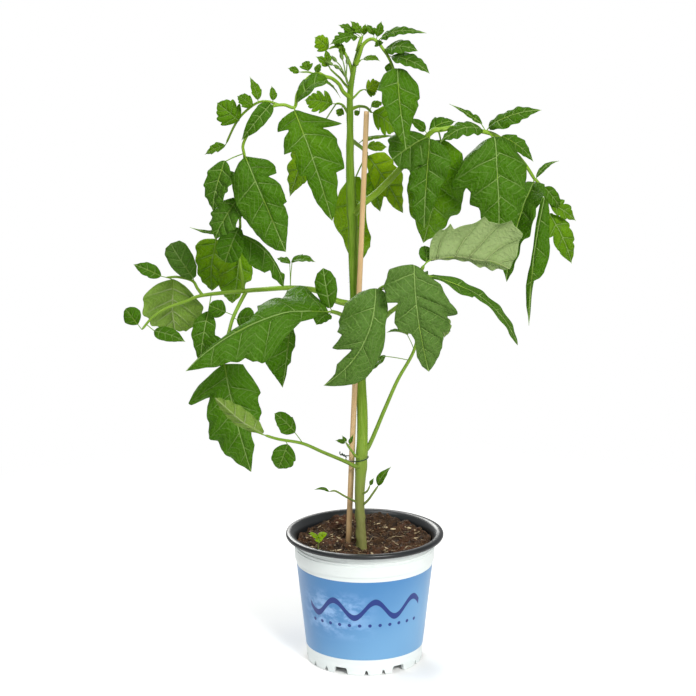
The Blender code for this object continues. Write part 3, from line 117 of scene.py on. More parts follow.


# On the leaflets at the back, tones under -1 give the pale colour that paints the glow of backlight.
PLANS = (
    LeafPlan("low_left_leaf", (
        Stalk(((-3, -4, 152), (-7, -9, 154), (-15, -16, 160), (-31, -30, 171), (-46, -45, 182),
            (-63, -55, 188), (-73, -62, 193)), (1.5, 1), (
            Leaflet(.66, (-6, -1, 9), (-15, -2, 15), 15, (.2, -.7, .6), .1, veins=4),
            Leaflet(.82, (2, 0, -3), (-7, 1, -19), 17, (.1, -.9, .3), .2, lobes=.25, veins=4),
            Leaflet(1, (-2, -1, 1), (-34, -9, 30), 17, (-.3, .55, .6), -.05, bow=-.06, fold=36,
                left=((0, .05), (.2, .16), (.5, .2), (.8, .14), (.95, .06), (1, 0)), right=((0, .05),
                (.2, .16), (.5, .2), (.8, .14), (.95, .06), (1, 0))),
        )),
    )),
    LeafPlan("low_right_leaf", (
        Stalk(((-3, 0, 163), (3, 4, 166), (15, 10, 193), (25, 15, 215), (37, 20, 236), (42, 24, 256),
            (46, 28, 272)), (1.7, 1), (
            Leaflet(.64, (-18, -10, 6), (-14, -4, -15), 12, (-.3, -.2, .8), -.1, fold=25, lobes=.2,
                veins=4),
            Leaflet(.71, (-5, -5, 13), (-16, -10, 4), 8, (0, -.1, 1), -.1, fold=30, lobes=.1, veins=4),
            Leaflet(.96, (3, 3, 0), (14, 30, -30), 24, (.4, .5, .6), .6, fold=10),
            Leaflet(1, (-1, 3, 3), (-8, 49, 13), 26, (-.2, .2, .9), .1, fold=10),
        )),
    )),
    LeafPlan("front_right_leaf", (
        Stalk(((-5, 5, 249), (0, 1, 252), (4, -9, 257), (9, -24, 266), (17, -44, 280), (26, -62, 292),
            (34, -80, 309), (41, -92, 326)), (2, 1.3), (
            Leaflet(.84, (-27, -11, 0), (-37, -12, -68), 52, (.05, -.85, .5), .75, bow=.1, fold=6,
                lobes=.42, veins=4, sway=-.15, left=((.03, .09), (.15, .12), (.3, .13), (.46, .175),
                (.56, .18), (.66, .19), (.76, .185), (.83, .155), (.9, .1), (.95, .06), (1, 0)),
                right=((0, .15), (.12, .29), (.3, .34), (.36, .31), (.44, .3), (.47, .245), (.55, .25),
                (.66, .265), (.66, .2), (.59, .07), (.66, .08), (.72, .09), (.8, .09), (.87, .03), (1, 0))),
            Leaflet(.94, (-5, -10, 8), (11, -18, -73), 52, (.1, -.9, .4), 1.1, fold=6, lobes=.42, sway=.04,
                left=((.02, .06), (.09, .14), (.185, .25), (.3, .305), (.49, .39), (.5, .275), (.56, .295),
                (.655, .295), (.655, .225), (.725, .205), (.81, .185), (.89, .125), (.95, .08), (1, 0)),
                right=((0, .1), (.04, .23), (.18, .28), (.34, .275), (.34, .17), (.41, .2), (.51, .215),
                (.59, .195), (.63, .085), (.69, .065), (.77, .07), (.85, .073), (.94, .05), (1, 0))),
            Leaflet(.94, (9, 8, -4), (63, 18, -55), 22, (.35, -.3, .9), .3, bow=.13, lobes=.22, twist=-30,
                left=((0, .03), (.1, .07), (.25, .08), (.4, .07), (.55, .07), (.7, .06), (.85, .05),
                (.95, .03), (1, 0)), right=((0, .05), (.1, .06), (.25, .12), (.34, .12), (.37, .05),
                (.5, .045), (.7, .055), (.85, .05), (.95, .03), (1, 0))),
            Leaflet(1, (2, 3, 2), (-1, 9, 10), 11, (.1, .2, .9), .1, fold=15, lobes=.15, veins=4),
            Leaflet(1, (4, 2, 4), (58, 24, -12), 50, (-.05, .82, .57), .75, bow=.03, fold=34, lobes=.16,
                sway=.08, left=((.02, .04), (.25, .07), (.5, .1), (.7, .17), (.85, .18), (.95, .1), (1, 0)),
                right=((0, .11), (.02, .23), (.1, .36), (.22, .44), (.27, .32), (.41, .42), (.56, .5),
                (.62, .42), (.71, .46), (.83, .53), (.89, .44), (.98, .43), (1, .28), (1, .12), (1.01, 0))),
        )),
        Stalk(((33, -80, 309), (24, -85, 310), (16, -87, 311), (9, -91, 309)), (1.2, 1), (
            Leaflet(.55, (-3, -1, 1), (7, 2, 11), 6, (.5, -.6, .6), .1, fold=20, lobes=.1, veins=3),
        )),
    )),
    LeafPlan("front_left_leaf", (
        Stalk(((-7, 5, 259), (-12, 0, 263), (-14, -11, 268), (-18, -24, 275), (-25, -36, 280)),
            (1.9, 1.4), (
            Leaflet(.95, (-2, 0, 3), (-5, 4, 29), 17, (-.1, -.9, .4), .1, fold=10, lobes=.2, veins=4,
                left=((0, .06), (.2, .2), (.45, .27), (.7, .27), (.9, .17), (1, 0)), right=((0, .06),
                (.2, .2), (.45, .27), (.7, .27), (.9, .17), (1, 0))),
            Leaflet(.95, (-3, -4, -1), (-9, -12, -5), 12, (0, -.5, .8), .1, fold=10, lobes=.2, veins=4),
            Leaflet(1, (-2, -2, 0), (-102, -46, -33), 56, (-.15, -.75, .6), .3, bow=.14, fold=-10,
                lobes=.38, sway=.05, left=((0, .03), (.2, .06), (.28, .12), (.4, .19), (.475, .24),
                (.55, .25), (.63, .235), (.66, .17), (.72, .17), (.8, .15), (.93, .07), (1, 0)),
                right=((0, .14), (.01, .25), (.04, .31), (.15, .27), (.19, .22), (.23, .18), (.41, .163),
                (.44, .097), (.52, .05), (.69, .03), (.83, .02), (1, 0))),
        )),
    )),
    LeafPlan("long_left_leaf", (
        Stalk(((-8, 5, 274), (-13, 3, 277), (-22, 1, 280), (-36, 3, 287), (-56, 8, 288), (-75, 12, 286),
            (-91, 15, 284), (-122, 18, 280), (-135, 19, 275), (-149, 19, 270), (-160, 18, 263),
            (-168, 16, 254)), (2.4, .9), (
            Leaflet(.3, (0, -2, 19), (-10, 4, 3), 10, (0, -.15, .95), -.2, fold=8, lobes=.15, veins=3),
            Leaflet(.3, (1, -3, 20), (18, -3, 1), 15, (0, -.15, .95), -.2, fold=28, lobes=.2, veins=4),
            Leaflet(.3, (0, 2, -27), (-6, -10, -48), 28, (.1, -.9, .3), .15, fold=14, lobes=.35,
                left=((0, .04), (.1, .06), (.2, .1), (.35, .11), (.45, .07), (.6, .075), (.66, .03),
                (.8, .03), (1, 0)), right=((0, .05), (.08, .25), (.2, .36), (.4, .41), (.56, .39),
                (.6, .35), (.7, .28), (.8, .19), (.9, .09), (1, 0))),
            Leaflet(.65, (-2, -5, -12), (-6, -8, -41), 17, (-.25, -.9, .3), .15, lobes=.08),
            Leaflet(.97, (6, -1, -5), (24, -10, -6), 12, (0, -.75, .65), .1, fold=10, lobes=.12),
            Leaflet(1, (-3, 0, 4), (-9, 2, 12), 14, (-.4, -.8, .4), .1, fold=6, lobes=.1, veins=4),
        )),
        Stalk(((-89, 15, 284), (-94, 12, 275), (-99, 6, 265), (-102, 0, 255), (-105, -6, 245),
            (-105, -10, 235)), (1.5, 1.2), (
            Leaflet(.36, (-6, -2, 3), (-12, -3, 6), 14, (-.2, -.9, .4), .2, fold=6, lobes=.1, veins=4),
            Leaflet(.39, (3, -2, -1), (13, -6, 3), 16, (.1, -.7, .6), .1, fold=15, lobes=.2, veins=4),
            Leaflet(.71, (-2, -1, -1), (-13, 2, -7), 14, (0, -.5, .8), .1, fold=30, lobes=.2, veins=4),
            Leaflet(1, (0, -1, -1), (20, -13, -80), 58, (-.2, -.93, .3), .25, bow=.06, fold=6, lobes=.45,
                left=((.03, .17), (.11, .2), (.21, .24), (.32, .265), (.4, .23), (.5, .235), (.56, .21),
                (.57, .11), (.67, .1), (.77, .1), (.84, .065), (1, 0)), right=((.02, .08), (.12, .3),
                (.27, .42), (.29, .39), (.25, .21), (.33, .235), (.43, .27), (.63, .3), (.66, .235),
                (.8, .185), (.9, .105), (1, 0))),
        )),
        Stalk(((-91, 15, 285), (-93, 20, 299), (-95, 27, 310), (-98, 31, 317)), (1.3, 1), (
            Leaflet(.78, (0, 2, 2), (-6, 13, -44), 30, (.3, -.85, .3), -1.3, bow=.1, fold=8, lobes=.25,
                left=((0, .05), (.1, .12), (.2, .2), (.3, .25), (.4, .265), (.5, .23), (.57, .17),
                (.65, .15), (.8, .12), (.92, .07), (1, 0)), right=((0, .05), (.12, .2), (.25, .3),
                (.4, .33), (.6, .3), (.75, .22), (.9, .1), (1, 0))),
            Leaflet(1, (-14, 3, 3), (-4, 4, -41), 28, (-.3, -.85, .4), -1.4, bow=.1, fold=8, lobes=.25,
                left=((.03, .07), (.15, .25), (.4, .33), (.6, .3), (.8, .2), (.93, .08), (1, 0)),
                right=((.01, .1), (.05, .26), (.11, .35), (.2, .37), (.4, .33), (.6, .28), (.76, .24),
                (.9, .13), (1, 0))),
        )),
        Stalk(((-122, 18, 280), (-126, 20, 285), (-130, 24, 290), (-141, 28, 292), (-150, 31, 291)),
            (1.2, .9), (
            Leaflet(.36, (0, -1, 3), (-17, 4, 26), 19, (-.3, -.85, .4), .5, fold=8, lobes=.12,
                left=((0, .08), (.2, .24), (.5, .3), (.85, .27), (.97, .18), (1, 0)), right=((0, .08),
                (.2, .24), (.5, .32), (.8, .32), (.95, .22), (1, 0))),
            Leaflet(1, (5, 3, -2), (0, 9, -42), 46, (.3, .9, .2), .02, bow=-.05, lobes=.08),
            Leaflet(1, (-4, 0, 1), (-21, 5, 8), 11, (-.1, -.8, .5), .1, fold=10, lobes=.25, veins=4),
        )),
    )),
    LeafPlan("upper_left_leaf", (
        Stalk(((-11, 2, 432), (-16, -4, 437), (-19, -8, 443), (-24, -13, 448), (-29, -17, 450),
            (-34, -22, 453), (-39, -27, 452), (-44, -31, 448), (-49, -36, 440), (-51, -40, 431),
            (-59, -41, 433), (-69, -42, 431), (-77, -43, 422), (-84, -44, 413), (-88, -44, 404),
            (-87, -44, 396), (-88, -42, 382), (-90, -38, 367), (-91, -35, 354), (-91, -31, 340)),
            (1.4, .9), (
            Leaflet(.39, (0, -3, -2), (27, -13, -78), 46, (.15, -.93, .35), -.3, bow=.07, fold=8, lobes=.42,
                left=((0, .03), (.11, .19), (.23, .38), (.21, .17), (.25, .22), (.34, .275), (.5, .265),
                (.61, .255), (.62, .165), (.7, .155), (.83, .11), (.93, .055), (1, 0)), right=((.01, .09),
                (.05, .17), (.12, .205), (.14, .1), (.19, .17), (.33, .225), (.33, .125), (.42, .15),
                (.55, .155), (.56, .1), (.63, .108), (.82, .082), (.94, .035), (1, 0))),
            Leaflet(.39, (2, -2, 4), (31, 12, 1), 20, (.1, -.25, .95), -.3, bow=.42, fold=18, lobes=.2),
            Leaflet(.47, (-2, -4, 2), (-21, -8, -25), 13, (.45, -.55, .7), .1, bow=.15, fold=30, lobes=.15),
            Leaflet(.69, (1, -3, -2), (29, -13, -67), 46, (-.05, -.95, .3), .15, bow=.06, fold=8, lobes=.42,
                left=((.03, .07), (.085, .16), (.13, .22), (.2, .237), (.27, .22), (.265, .135),
                (.32, .185), (.39, .217), (.56, .208), (.57, .16), (.61, .172), (.71, .157), (.84, .09),
                (.92, .043), (1, 0)), right=((.02, .08), (.115, .18), (.2, .235), (.3, .265), (.4, .27),
                (.53, .26), (.61, .235), (.75, .2), (.87, .15), (.95, .09), (1, 0))),
            Leaflet(.69, (-14, 4, -6), (-9, 2, -38), 19, (-.3, -.85, .35), .3, bow=.1, fold=15),
            Leaflet(.71, (-7, 3, -11), (-15, -1, -19), 17, (-.6, -.7, .3), .3, fold=25, lobes=.2),
            Leaflet(.84, (-2, -2, -5), (-17, -3, -30), 23, (-.4, -.7, .5), .4, fold=20, lobes=.25),
            Leaflet(.93, (-4, 2, -11), (-33, 5, -1), 7, (-.2, -.3, .9), .3, bow=-.12, fold=25, veins=4),
            Leaflet(.97, (-1, -1, -4), (-10, -2, -25), 20, (-.2, -.9, .3), .3, lobes=.2, left=((0, .1),
                (.2, .28), (.5, .38), (.8, .36), (.95, .18), (1, 0)), right=((0, .1), (.2, .3), (.5, .4),
                (.75, .36), (.93, .2), (1, 0))),
            Leaflet(1, (2, 1, -5), (29, 8, -40), 26, (.1, -.8, .5), .3, bow=.06, fold=14, lobes=.35,
                sway=-.1, left=((0, .02), (.2, .05), (.45, .04), (.6, .03), (.78, .03), (.83, .07),
                (.92, .03), (1, 0)), right=((0, .1), (.1, .25), (.25, .33), (.45, .3), (.6, .23),
                (.64, .13), (.75, .16), (.85, .1), (.93, .06), (1, 0))),
        )),
        Stalk(((-62, -41, 433), (-70, -38, 435), (-77, -35, 434), (-84, -31, 429), (-90, -28, 423),
            (-94, -26, 417), (-97, -23, 411), (-101, -20, 402)), (1, .8), (
            Leaflet(.08, (0, -1, 2), (-1, 2, 10), 6, (.4, -.8, .3), -.4, fold=15, lobes=.15, veins=3),
            Leaflet(.28, (0, 0, 2), (-6, 4, 16), 8, (.5, -.8, .2), -.4, fold=20, lobes=.15, veins=4),
            Leaflet(.37, (0, -3, 0), (-11, 2, 7), 12, (0, -.6, .8), -.3, fold=15, lobes=.2, veins=4),
            Leaflet(.59, (-1, -2, -3), (-16, 2, 13), 19, (-.2, -.85, .4), -.3, fold=8, lobes=.2),
            Leaflet(1, (-1, 0, -2), (-15, 2, -7), 10, (-.1, -.6, .8), -.3, fold=20, lobes=.2, veins=4),
        )),
        Stalk(((-34, -22, 453), (-38, -22, 453), (-41, -22, 454), (-47, -22, 454)), (.7, .6), (
            Leaflet(.12, (0, -1, 1), (3, -2, 7), 5, (.1, -.8, .3), -.5, fold=15, lobes=.2, veins=3),
            Leaflet(.57, (0, 0, 1), (-2, 0, 7), 9, (-.1, -.8, .5), -.5, lobes=.35, veins=3),
            Leaflet(1, (-1, 0, 0), (-8, -2, 3), 6, (-.1, -.7, .6), -.5, fold=15, lobes=.2, veins=3),
        )),
    )),
    LeafPlan("young_left_leaf", (
        Stalk(((-11, 2, 438), (-15, 2, 442), (-18, 1, 446), (-22, -1, 450), (-26, -2, 454)), (.9, .7), (
            Leaflet(.94, (-2, 1, 4), (-2, 0, 11), 6, (.4, -.8, .3), -.7, fold=18, lobes=.15, veins=3),
            Leaflet(1, (-1, 0, 2), (-9, -3, 7), 7, (-.1, -.7, .6), -.7, fold=15, veins=3),
        )),
    )),
    LeafPlan("top_right_leaf", (
        Stalk(((-7, -1, 457), (-4, -4, 465), (-2, -5, 471), (2, -6, 475), (6, -8, 476), (10, -10, 473),
            (13, -12, 469), (16, -14, 465), (19, -16, 459), (22, -19, 451)), (1.5, .9), (
            Leaflet(.45, (0, 2, 3), (-5, 4, 7), 6, (-.1, -.6, .7), -.5, fold=18, veins=3),
            Leaflet(.48, (1, 0, 3), (3, 1, 11), 7, (.1, -.8, .5), -.5, fold=18, veins=3),
            Leaflet(.51, (3, -1, 4), (32, -12, 4), 16, (0, -.6, .8), -.1, bow=.1, lobes=.35, left=((0, .08),
                (.1, .15), (.2, .14), (.35, .16), (.55, .12), (.8, .05), (1, 0)), right=((0, .1),
                (.15, .16), (.4, .13), (.7, .08), (1, 0))),
            Leaflet(.62, (2, -1, 0), (23, -12, 0), 16, (.1, -.6, .8), -.1, bow=.12, veins=4),
            Leaflet(.56, (-1, -2, 0), (-1, -7, 5), 7, (0, -.9, .3), -.3, fold=15, veins=3),
            Leaflet(.73, (3, -2, 0), (27, -12, -11), 15, (.3, -.6, .75), bow=.1, fold=14),
            Leaflet(.79, (1, 0, -2), (-1, 3, -9), 8, (-.4, -.8, .2), -.2, fold=20, lobes=.2, veins=3),
            Leaflet(1, (1, 0, 5), (6, -32, -54), 37, (.2, -.95, .25), -.3, bow=.07, fold=10, sway=.03,
                left=((0, .117), (.1, .18), (.23, .238), (.37, .25), (.4, .225), (.49, .218), (.62, .152),
                (.75, .1), (.87, .06), (1, 0)), right=((0, .05), (.04, .1), (.095, .165), (.17, .2),
                (.3, .255), (.33, .205), (.44, .2), (.57, .16), (.73, .12), (.88, .06), (1, 0))),
        )),
    )),
    LeafPlan("tip_leaf", (
        Stalk(((-5, 1, 466), (-4, 1, 472), (-3, 2, 475), (-2, 2, 477)), (1.5, 1.2), (
            Leaflet(.8, (-3, -1, 2), (-20, -9, -5), 13, (0, -.55, .85), -.4, bow=.1, fold=10),
            Leaflet(.88, (-4, 1, 3), (-13, 2, 6), 9, (.2, -.6, .7), -.4, fold=14, lobes=.35, veins=4),
            Leaflet(1, (-1, 0, 2), (-8, 1, 9), 7, (.3, -.7, .6), -.7, bow=.06, fold=18, veins=4),
            Leaflet(1, (1, 0, 1), (1, 1, 8), 5, (.1, -.9, .2), -.9, fold=20, lobes=.2, veins=3),
        )),
    )),
    LeafPlan("upper_small_leaf", (
        Stalk(((-9, 0, 450), (-11, 2, 456), (-13, 2, 461), (-16, 3, 466), (-20, 3, 469), (-24, 2, 469),
            (-26, 0, 468)), (1.3, .9), (
            Leaflet(.45, (-2, 0, 1), (-2, 1, 9), 6, (-.5, -.7, .4), -.7, fold=18, lobes=.2, veins=3),
            Leaflet(.68, (-1, -1, 2), (-5, -3, 5), 6, (-.2, -.8, .6), -.7, fold=14, lobes=.2, veins=3),
            Leaflet(1, (-1, 0, 0), (-10, -4, 9), 13, (-.2, -.75, .6), -1.3, fold=8, lobes=.2, veins=4),
        )),
    )),
    LeafPlan("top_small_leaf", (
        Stalk(((-8, 0, 454), (-6, 1, 457), (-3, 0, 460)), (.7, .6), (
            Leaflet(.95, (2, 0, 1), (12, -6, -1), 8, (.1, -.5, .85), -.7, bow=.14, lobes=.2, veins=4),
        )),
    )),
    LeafPlan("right_leaf", (
        Stalk(((-8, 5, 346), (-1, 3, 353), (11, -2, 364), (31, -14, 388), (47, -26, 410), (55, -28, 413),
            (67, -27, 414), (88, -22, 410), (98, -18, 405), (109, -12, 394), (118, -8, 383),
            (125, -6, 372)), (2.6, 1.2), (
            Leaflet(.46, (-2, -1, 4), (-11, -4, 9), 8, (0, -.8, .6), fold=22, lobes=.2, veins=4),
            Leaflet(.47, (-2, -2, -2), (-25, -8, -15), 34, (-.15, -.8, .6), .1, fold=10, lobes=.4, veins=4),
            Leaflet(.47, (0, -4, -3), (-4, -18, -62), 34, (-.15, -.95, .2), .1, bow=.07, lobes=.4,
                left=((0, .05), (.1, .2), (.25, .27), (.4, .24), (.49, .19), (.62, .145), (.84, .067),
                (1, 0)), right=((0, .05), (.08, .2), (.2, .27), (.38, .2), (.42, .18), (.59, .19),
                (.63, .145), (.78, .138), (.88, .13), (.91, .09), (.96, .035), (1, 0))),
            Leaflet(.47, (0, 2, 2), (19, 5, 6), 15, (0, -.5, .85), -.2, bow=.15, veins=4),
            Leaflet(.51, (3, 16, -10), (-12, 22, -81), 44, (.2, -.95, .2), -.6, bow=.1, fold=8, lobes=.4,
                left=((0, .05), (.1, .2), (.3, .28), (.5, .28), (.6, .27), (.68, .25), (.72, .19),
                (.85, .14), (.95, .06), (1, 0)), right=((0, .05), (.1, .2), (.33, .25), (.5, .24),
                (.6, .21), (.71, .18), (.75, .13), (.85, .09), (1, 0))),
            Leaflet(.7, (-3, -2, 2), (-31, -14, -7), 17, (-.1, -.5, .85), bow=.18),
            Leaflet(.7, (-3, 0, 6), (-24, -2, 15), 6, (-.1, -.7, .7), -.2, bow=.06, fold=28, veins=4),
            Leaflet(.7, (2, 0, 4), (37, -12, 14), 21, (.05, -.7, .7), bow=.12, fold=10, left=((0, .04),
                (.05, .1), (.2, .12), (.41, .13), (.46, .115), (.6, .14), (.75, .1), (.9, .04), (1, 0)),
                right=((0, .06), (.1, .13), (.3, .22), (.45, .22), (.6, .19), (.75, .13), (.9, .05),
                (1, 0))),
            Leaflet(.7, (6, -4, -3), (3, -22, -74), 56, (.1, -.95, .2), .2, fold=8, lobes=.42,
                left=((0, .1), (.08, .17), (.15, .23), (.2, .26), (.27, .3), (.43, .29), (.5, .28),
                (.6, .26), (.66, .2), (.73, .19), (.84, .16), (.93, .08), (1, 0)), right=((0, .08),
                (.06, .17), (.17, .29), (.39, .43), (.46, .43), (.47, .29), (.52, .265), (.63, .265),
                (.67, .19), (.76, .17), (.83, .13), (.93, .07), (1, 0))),
            Leaflet(.76, (2, 1, 1), (23, -5, -18), 13, (.1, -.6, .75), bow=.12, fold=18),
            Leaflet(.99, (0, -2, -3), (-20, -16, -71), 38, (-.55, -.75, .3), .25, bow=.1, fold=26,
                left=((0, .15), (.15, .26), (.22, .24), (.26, .18), (.35, .24), (.43, .25), (.54, .245),
                (.57, .18), (.8, .12), (.92, .06), (1, 0)), right=((0, .06), (.1, .15), (.25, .2),
                (.45, .22), (.65, .17), (.85, .07), (1, 0))),
            Leaflet(1, (1, 1, 2), (17, 7, 11), 5, (-.2, -.5, .8), .4, bow=.16, fold=22, lobes=.2, veins=4),
        )),
        Stalk(((125, -6, 373), (130, -4, 366), (134, -2, 355), (136, 0, 346)), (1.2, .8), (
            Leaflet(.28, (2, 0, 0), (12, 3, -16), 11, (.3, -.8, .4), fold=22, lobes=.2, veins=4),
            Leaflet(.5, (0, -4, -1), (-11, -12, -94), 20, (-.25, -.95, 0), .1, bow=.04, fold=-14, sway=.02,
                left=((0, .03), (.13, .065), (.27, .09), (.37, .118), (.46, .12), (.58, .095), (.63, .06),
                (.65, .02), (.75, .012), (.9, .01), (1, 0)), right=((0, .03), (.2, .03), (.4, .02),
                (.53, .025), (.6, .04), (.7, .045), (.85, .03), (.93, .01), (1, 0))),
            Leaflet(.72, (2, 0, 0), (20, 4, -14), 14, (.3, -.8, .5), -.5, fold=15, veins=4),
            Leaflet(1, (0, 0, 0), (18, 6, -39), 20, (.25, -.85, .4), -.6, bow=.1, fold=15, veins=4),
        )),
    )),
    LeafPlan("back_right_leaf", (
        Stalk(((-11, 3, 423), (-7, 7, 424), (-4, 12, 424), (1, 20, 422), (5, 28, 417)), (1.2, .9), (
            Leaflet(.37, (0, 0, -4), (-4, 0, -2), 5, (0, -.7, .7), -.6, fold=10, lobes=.1, veins=3),
            Leaflet(.89, (1, 1, 3), (8, 2, 3), 8, (.1, -.5, .85), -.8, fold=10, lobes=.2, veins=3),
            Leaflet(1, (1, 1, 0), (18, 9, -15), 22, (.2, -.85, .5), -1.3, fold=8),
        )),
    )),
    LeafPlan("back_small_leaf", (
        Stalk(((-11, 2, 430), (-7, 5, 433), (-4, 7, 436), (-1, 9, 437)), (.8, .6), (
            Leaflet(1, (2, 1, -1), (7, 3, -3), 7, (.1, -.8, .5), -1.2, fold=10, lobes=.2, veins=3),
            Leaflet(1, (2, 0, 0), (10, 3, 5), 11, (.1, -.8, .5), -1.6, fold=10, veins=4),
        )),
    )),
    LeafPlan("back_leaf", (
        Stalk(((-11, 4, 397), (-9, 12, 398), (-6, 24, 394), (-2, 36, 389), (2, 48, 383)), (1.7, 1.2), (
            Leaflet(.48, (3, 0, 3), (27, -2, 3), 7, (0, -.3, .95), -1.3, lobes=.2, veins=4),
            Leaflet(.71, (4, 1, 0), (15, 3, 0), 11, (.1, -.6, .8), -1.4, lobes=.25, veins=4),
            Leaflet(.95, (1, 2, -3), (27, 12, -46), 30, (.3, -.9, .3), -1.9, fold=6, lobes=.35,
                left=((.03, .12), (.11, .23), (.26, .28), (.31, .23), (.45, .29), (.6, .24), (.7, .16),
                (.86, .07), (1, 0)), right=((.02, .06), (.16, .13), (.43, .21), (.57, .17), (.6, .13),
                (.8, .11), (.92, .05), (1, 0))),
            Leaflet(1, (1, 10, -16), (9, 8, -32), 16, (.2, -.9, .3), -1.5, fold=8, lobes=.25, veins=4),
            Leaflet(1, (-9, 14, -20), (-2, 22, -73), 34, (-.05, -.95, .25), -1.5, fold=8, lobes=.25,
                veins=4, left=((0, .05), (.2, .12), (.45, .13), (.55, .15), (.63, .185), (.75, .18),
                (.86, .14), (.96, .08), (1, 0)), right=((0, .05), (.15, .15), (.35, .21), (.5, .21),
                (.58, .17), (.7, .1), (.82, .06), (1, 0))),
        )),
    )),
    LeafPlan("back_left_leaf", (
        Stalk(((-11, 3, 417), (-13, 9, 420), (-16, 15, 424), (-19, 20, 425), (-22, 25, 424)), (1.1, .8), (
            Leaflet(.63, (0, 1, -3), (-3, 0, -6), 6, (0, -.9, .4), -.8, lobes=.2, veins=3),
            Leaflet(.96, (-11, 36, -22), (-25, 24, -59), 24, (-.2, -.9, .3), -1.4, fold=10, lobes=.35),
            Leaflet(1, (-2, 1, 0), (-21, 4, 2), 19, (-.2, -.75, .6), -1.1, fold=10, lobes=.35),
        )),
    )),
    LeafPlan("seed_leaf_left", (
        Stalk(((-4, -4, 123), (-9, -8, 127), (-15, -14, 132), (-22, -17, 137), (-26, -18, 137)), (.8, .7), (
            Leaflet(1, (-1, 0, 0), (-11, -3, 2), 3, (-.1, -.6, .8), -.1, bow=.2, fold=25, lobes=0, veins=3),
        )),
    )),
    LeafPlan("seed_leaf_right", (
        Stalk(((-4, -4, 120), (2, -7, 126), (6, -8, 132), (10, -8, 138)), (.9, .8), (
            Leaflet(1, (0, 0, 1), (10, -2, 15), 8, (-.5, -.6, .5), -.2, fold=30, lobes=0, veins=3),
        )),
    )),
    LeafPlan("base_shoot", (
        Stalk(((-4, -4, 130), (1, -7, 133), (3, -8, 136), (4, -8, 139)), (.8, .6), (
            Leaflet(1, (0, 0, 0), (3, -1, 6), 3, (-.3, -.8, .3), -.2, fold=15, lobes=.1, veins=3),
        )),
    )),
    LeafPlan("side_shoot", (
        Stalk(((-3, -4, 158), (-7, -8, 162), (-11, -10, 168), (-14, -11, 173)), (1.1, .8), (
            Leaflet(.85, (1, -1, 2), (3, 1, 7), 3, (-.2, -.8, .3), -.3, fold=15, lobes=.1, veins=3),
            Leaflet(1, (0, 0, 1), (-3, -1, 5), 3, (-.3, -.8, .4), -.3, fold=15, lobes=.1, veins=3),
            Leaflet(1, (-1, 0, 0), (-7, -1, 2), 4, (-.1, -.6, .7), -.3, fold=15, lobes=.1, veins=3),
        )),
    )),
    LeafPlan("weed_seedling", (
        Stalk(((-35, -30, 84), (-35, -30, 96), (-35, -31, 105)), (.7, .6), (
            Leaflet(1, (0, 0, 0), (-7, -3, 4), 6, (-.1, -.4, .9), -1.8, fold=8, lobes=0, veins=3),
            Leaflet(1, (0, 0, 0), (7, 1, 3), 6, (.1, -.4, .9), -1.9, fold=8, lobes=0, veins=3),
            Leaflet(1, (0, 0, -1), (1, -8, -1), 6, (0, -.6, .8), -1.7, fold=8, lobes=.1, veins=3),
        )),
    )),
)

STEM_LINE = (
    (-2, -5, 74), (-2, -5, 88), (-3, -5, 106), (-4, -4, 128), (-3, -3, 150), (-2, 0, 171), (-2, 4, 193),
    (-3, 6, 214), (-4, 6, 241), (-7, 5, 272), (-8, 5, 293), (-9, 5, 321), (-9, 5, 336), (-10, 5, 355),
    (-11, 4, 380), (-11, 3, 407), (-11, 2, 434), (-9, 0, 449), (-7, 0, 460), (-5, 0, 468),
)
STEM_RADII = (3.4, 3.6, 3.4, 3.5, 4.2, 4.1, 4.1, 4, 4, 3.8, 3.6, 3.5, 3.5, 3.5, 2.9, 2.3, 2, 1.7, 1.4, 1)
STEM_NODES = (152, 163, 250, 260, 275, 346, 397, 417, 423, 433, 441, 452)
TRUSS_FOOT = ((-11, 1, 441), (-13, -3, 444), (-14, -6, 448))
TRUSS_BUDS = ((-22, -9, 461), (-20, -12, 456), (-25, -7, 458), (-17, -3, 462), (-13, -5, 459))


# ---------------------------------------------------------------- numbers and meshes

def unit(vectors: np.ndarray) -> np.ndarray:
    """Scale each vector along the last axis to unit length."""
    vectors = np.asarray(vectors, float)
    return vectors / np.maximum(np.linalg.norm(vectors, axis=-1, keepdims=True), 1e-12)


def read_rows(places: np.ndarray, along: np.ndarray, rows: np.ndarray) -> np.ndarray:
    """Points between the rows, whose places are along, at other places."""
    return np.column_stack([np.interp(places, along, rows[:, k]) for k in range(3)])


def circle(count: int) -> np.ndarray:
    """Even turns round a full circle, in radians."""
    return np.arange(count) * FULL_TURN / count


def spoke(angle: float, first: np.ndarray, second: np.ndarray) -> np.ndarray:
    """The direction at an angle from the first cross direction towards the second."""
    return math.cos(angle) * first + math.sin(angle) * second


def smooth_line(points: tuple | list, count: int) -> np.ndarray:
    """Read evenly spaced points from the Catmull-Rom curve through the given ones.

    Between b and c, with neighbours a and d, the curve is half of
    2b + (c-a)t + (2a-5b+4c-d)t^2 + (3b-a-3c+d)t^3.

    Args:
        points: the places that the curve passes.
        count: how many points to read.

    Returns:
        The points, one row each.
    """
    held = np.asarray(points, float)
    held = np.vstack([2 * held[:1] - held[1:2], held, 2 * held[-1:] - held[-2:-1]])
    t = np.linspace(0, 1, 24, endpoint=False)[None, :, None]
    a, b, c, d = (held[k:len(held) - 3 + k, None, :] for k in range(4))
    fine = 0.5 * (2 * b + (c - a) * t + (2 * a - 5 * b + 4 * c - d) * t ** 2
                  + (3 * b - a - 3 * c + d) * t ** 3)
    fine = np.vstack([fine.reshape(-1, 3), held[-2:-1]])
    along = np.concatenate([[0], np.cumsum(np.linalg.norm(np.diff(fine, axis=0), axis=1))])
    return read_rows(np.linspace(0, along[-1], count), along, fine)


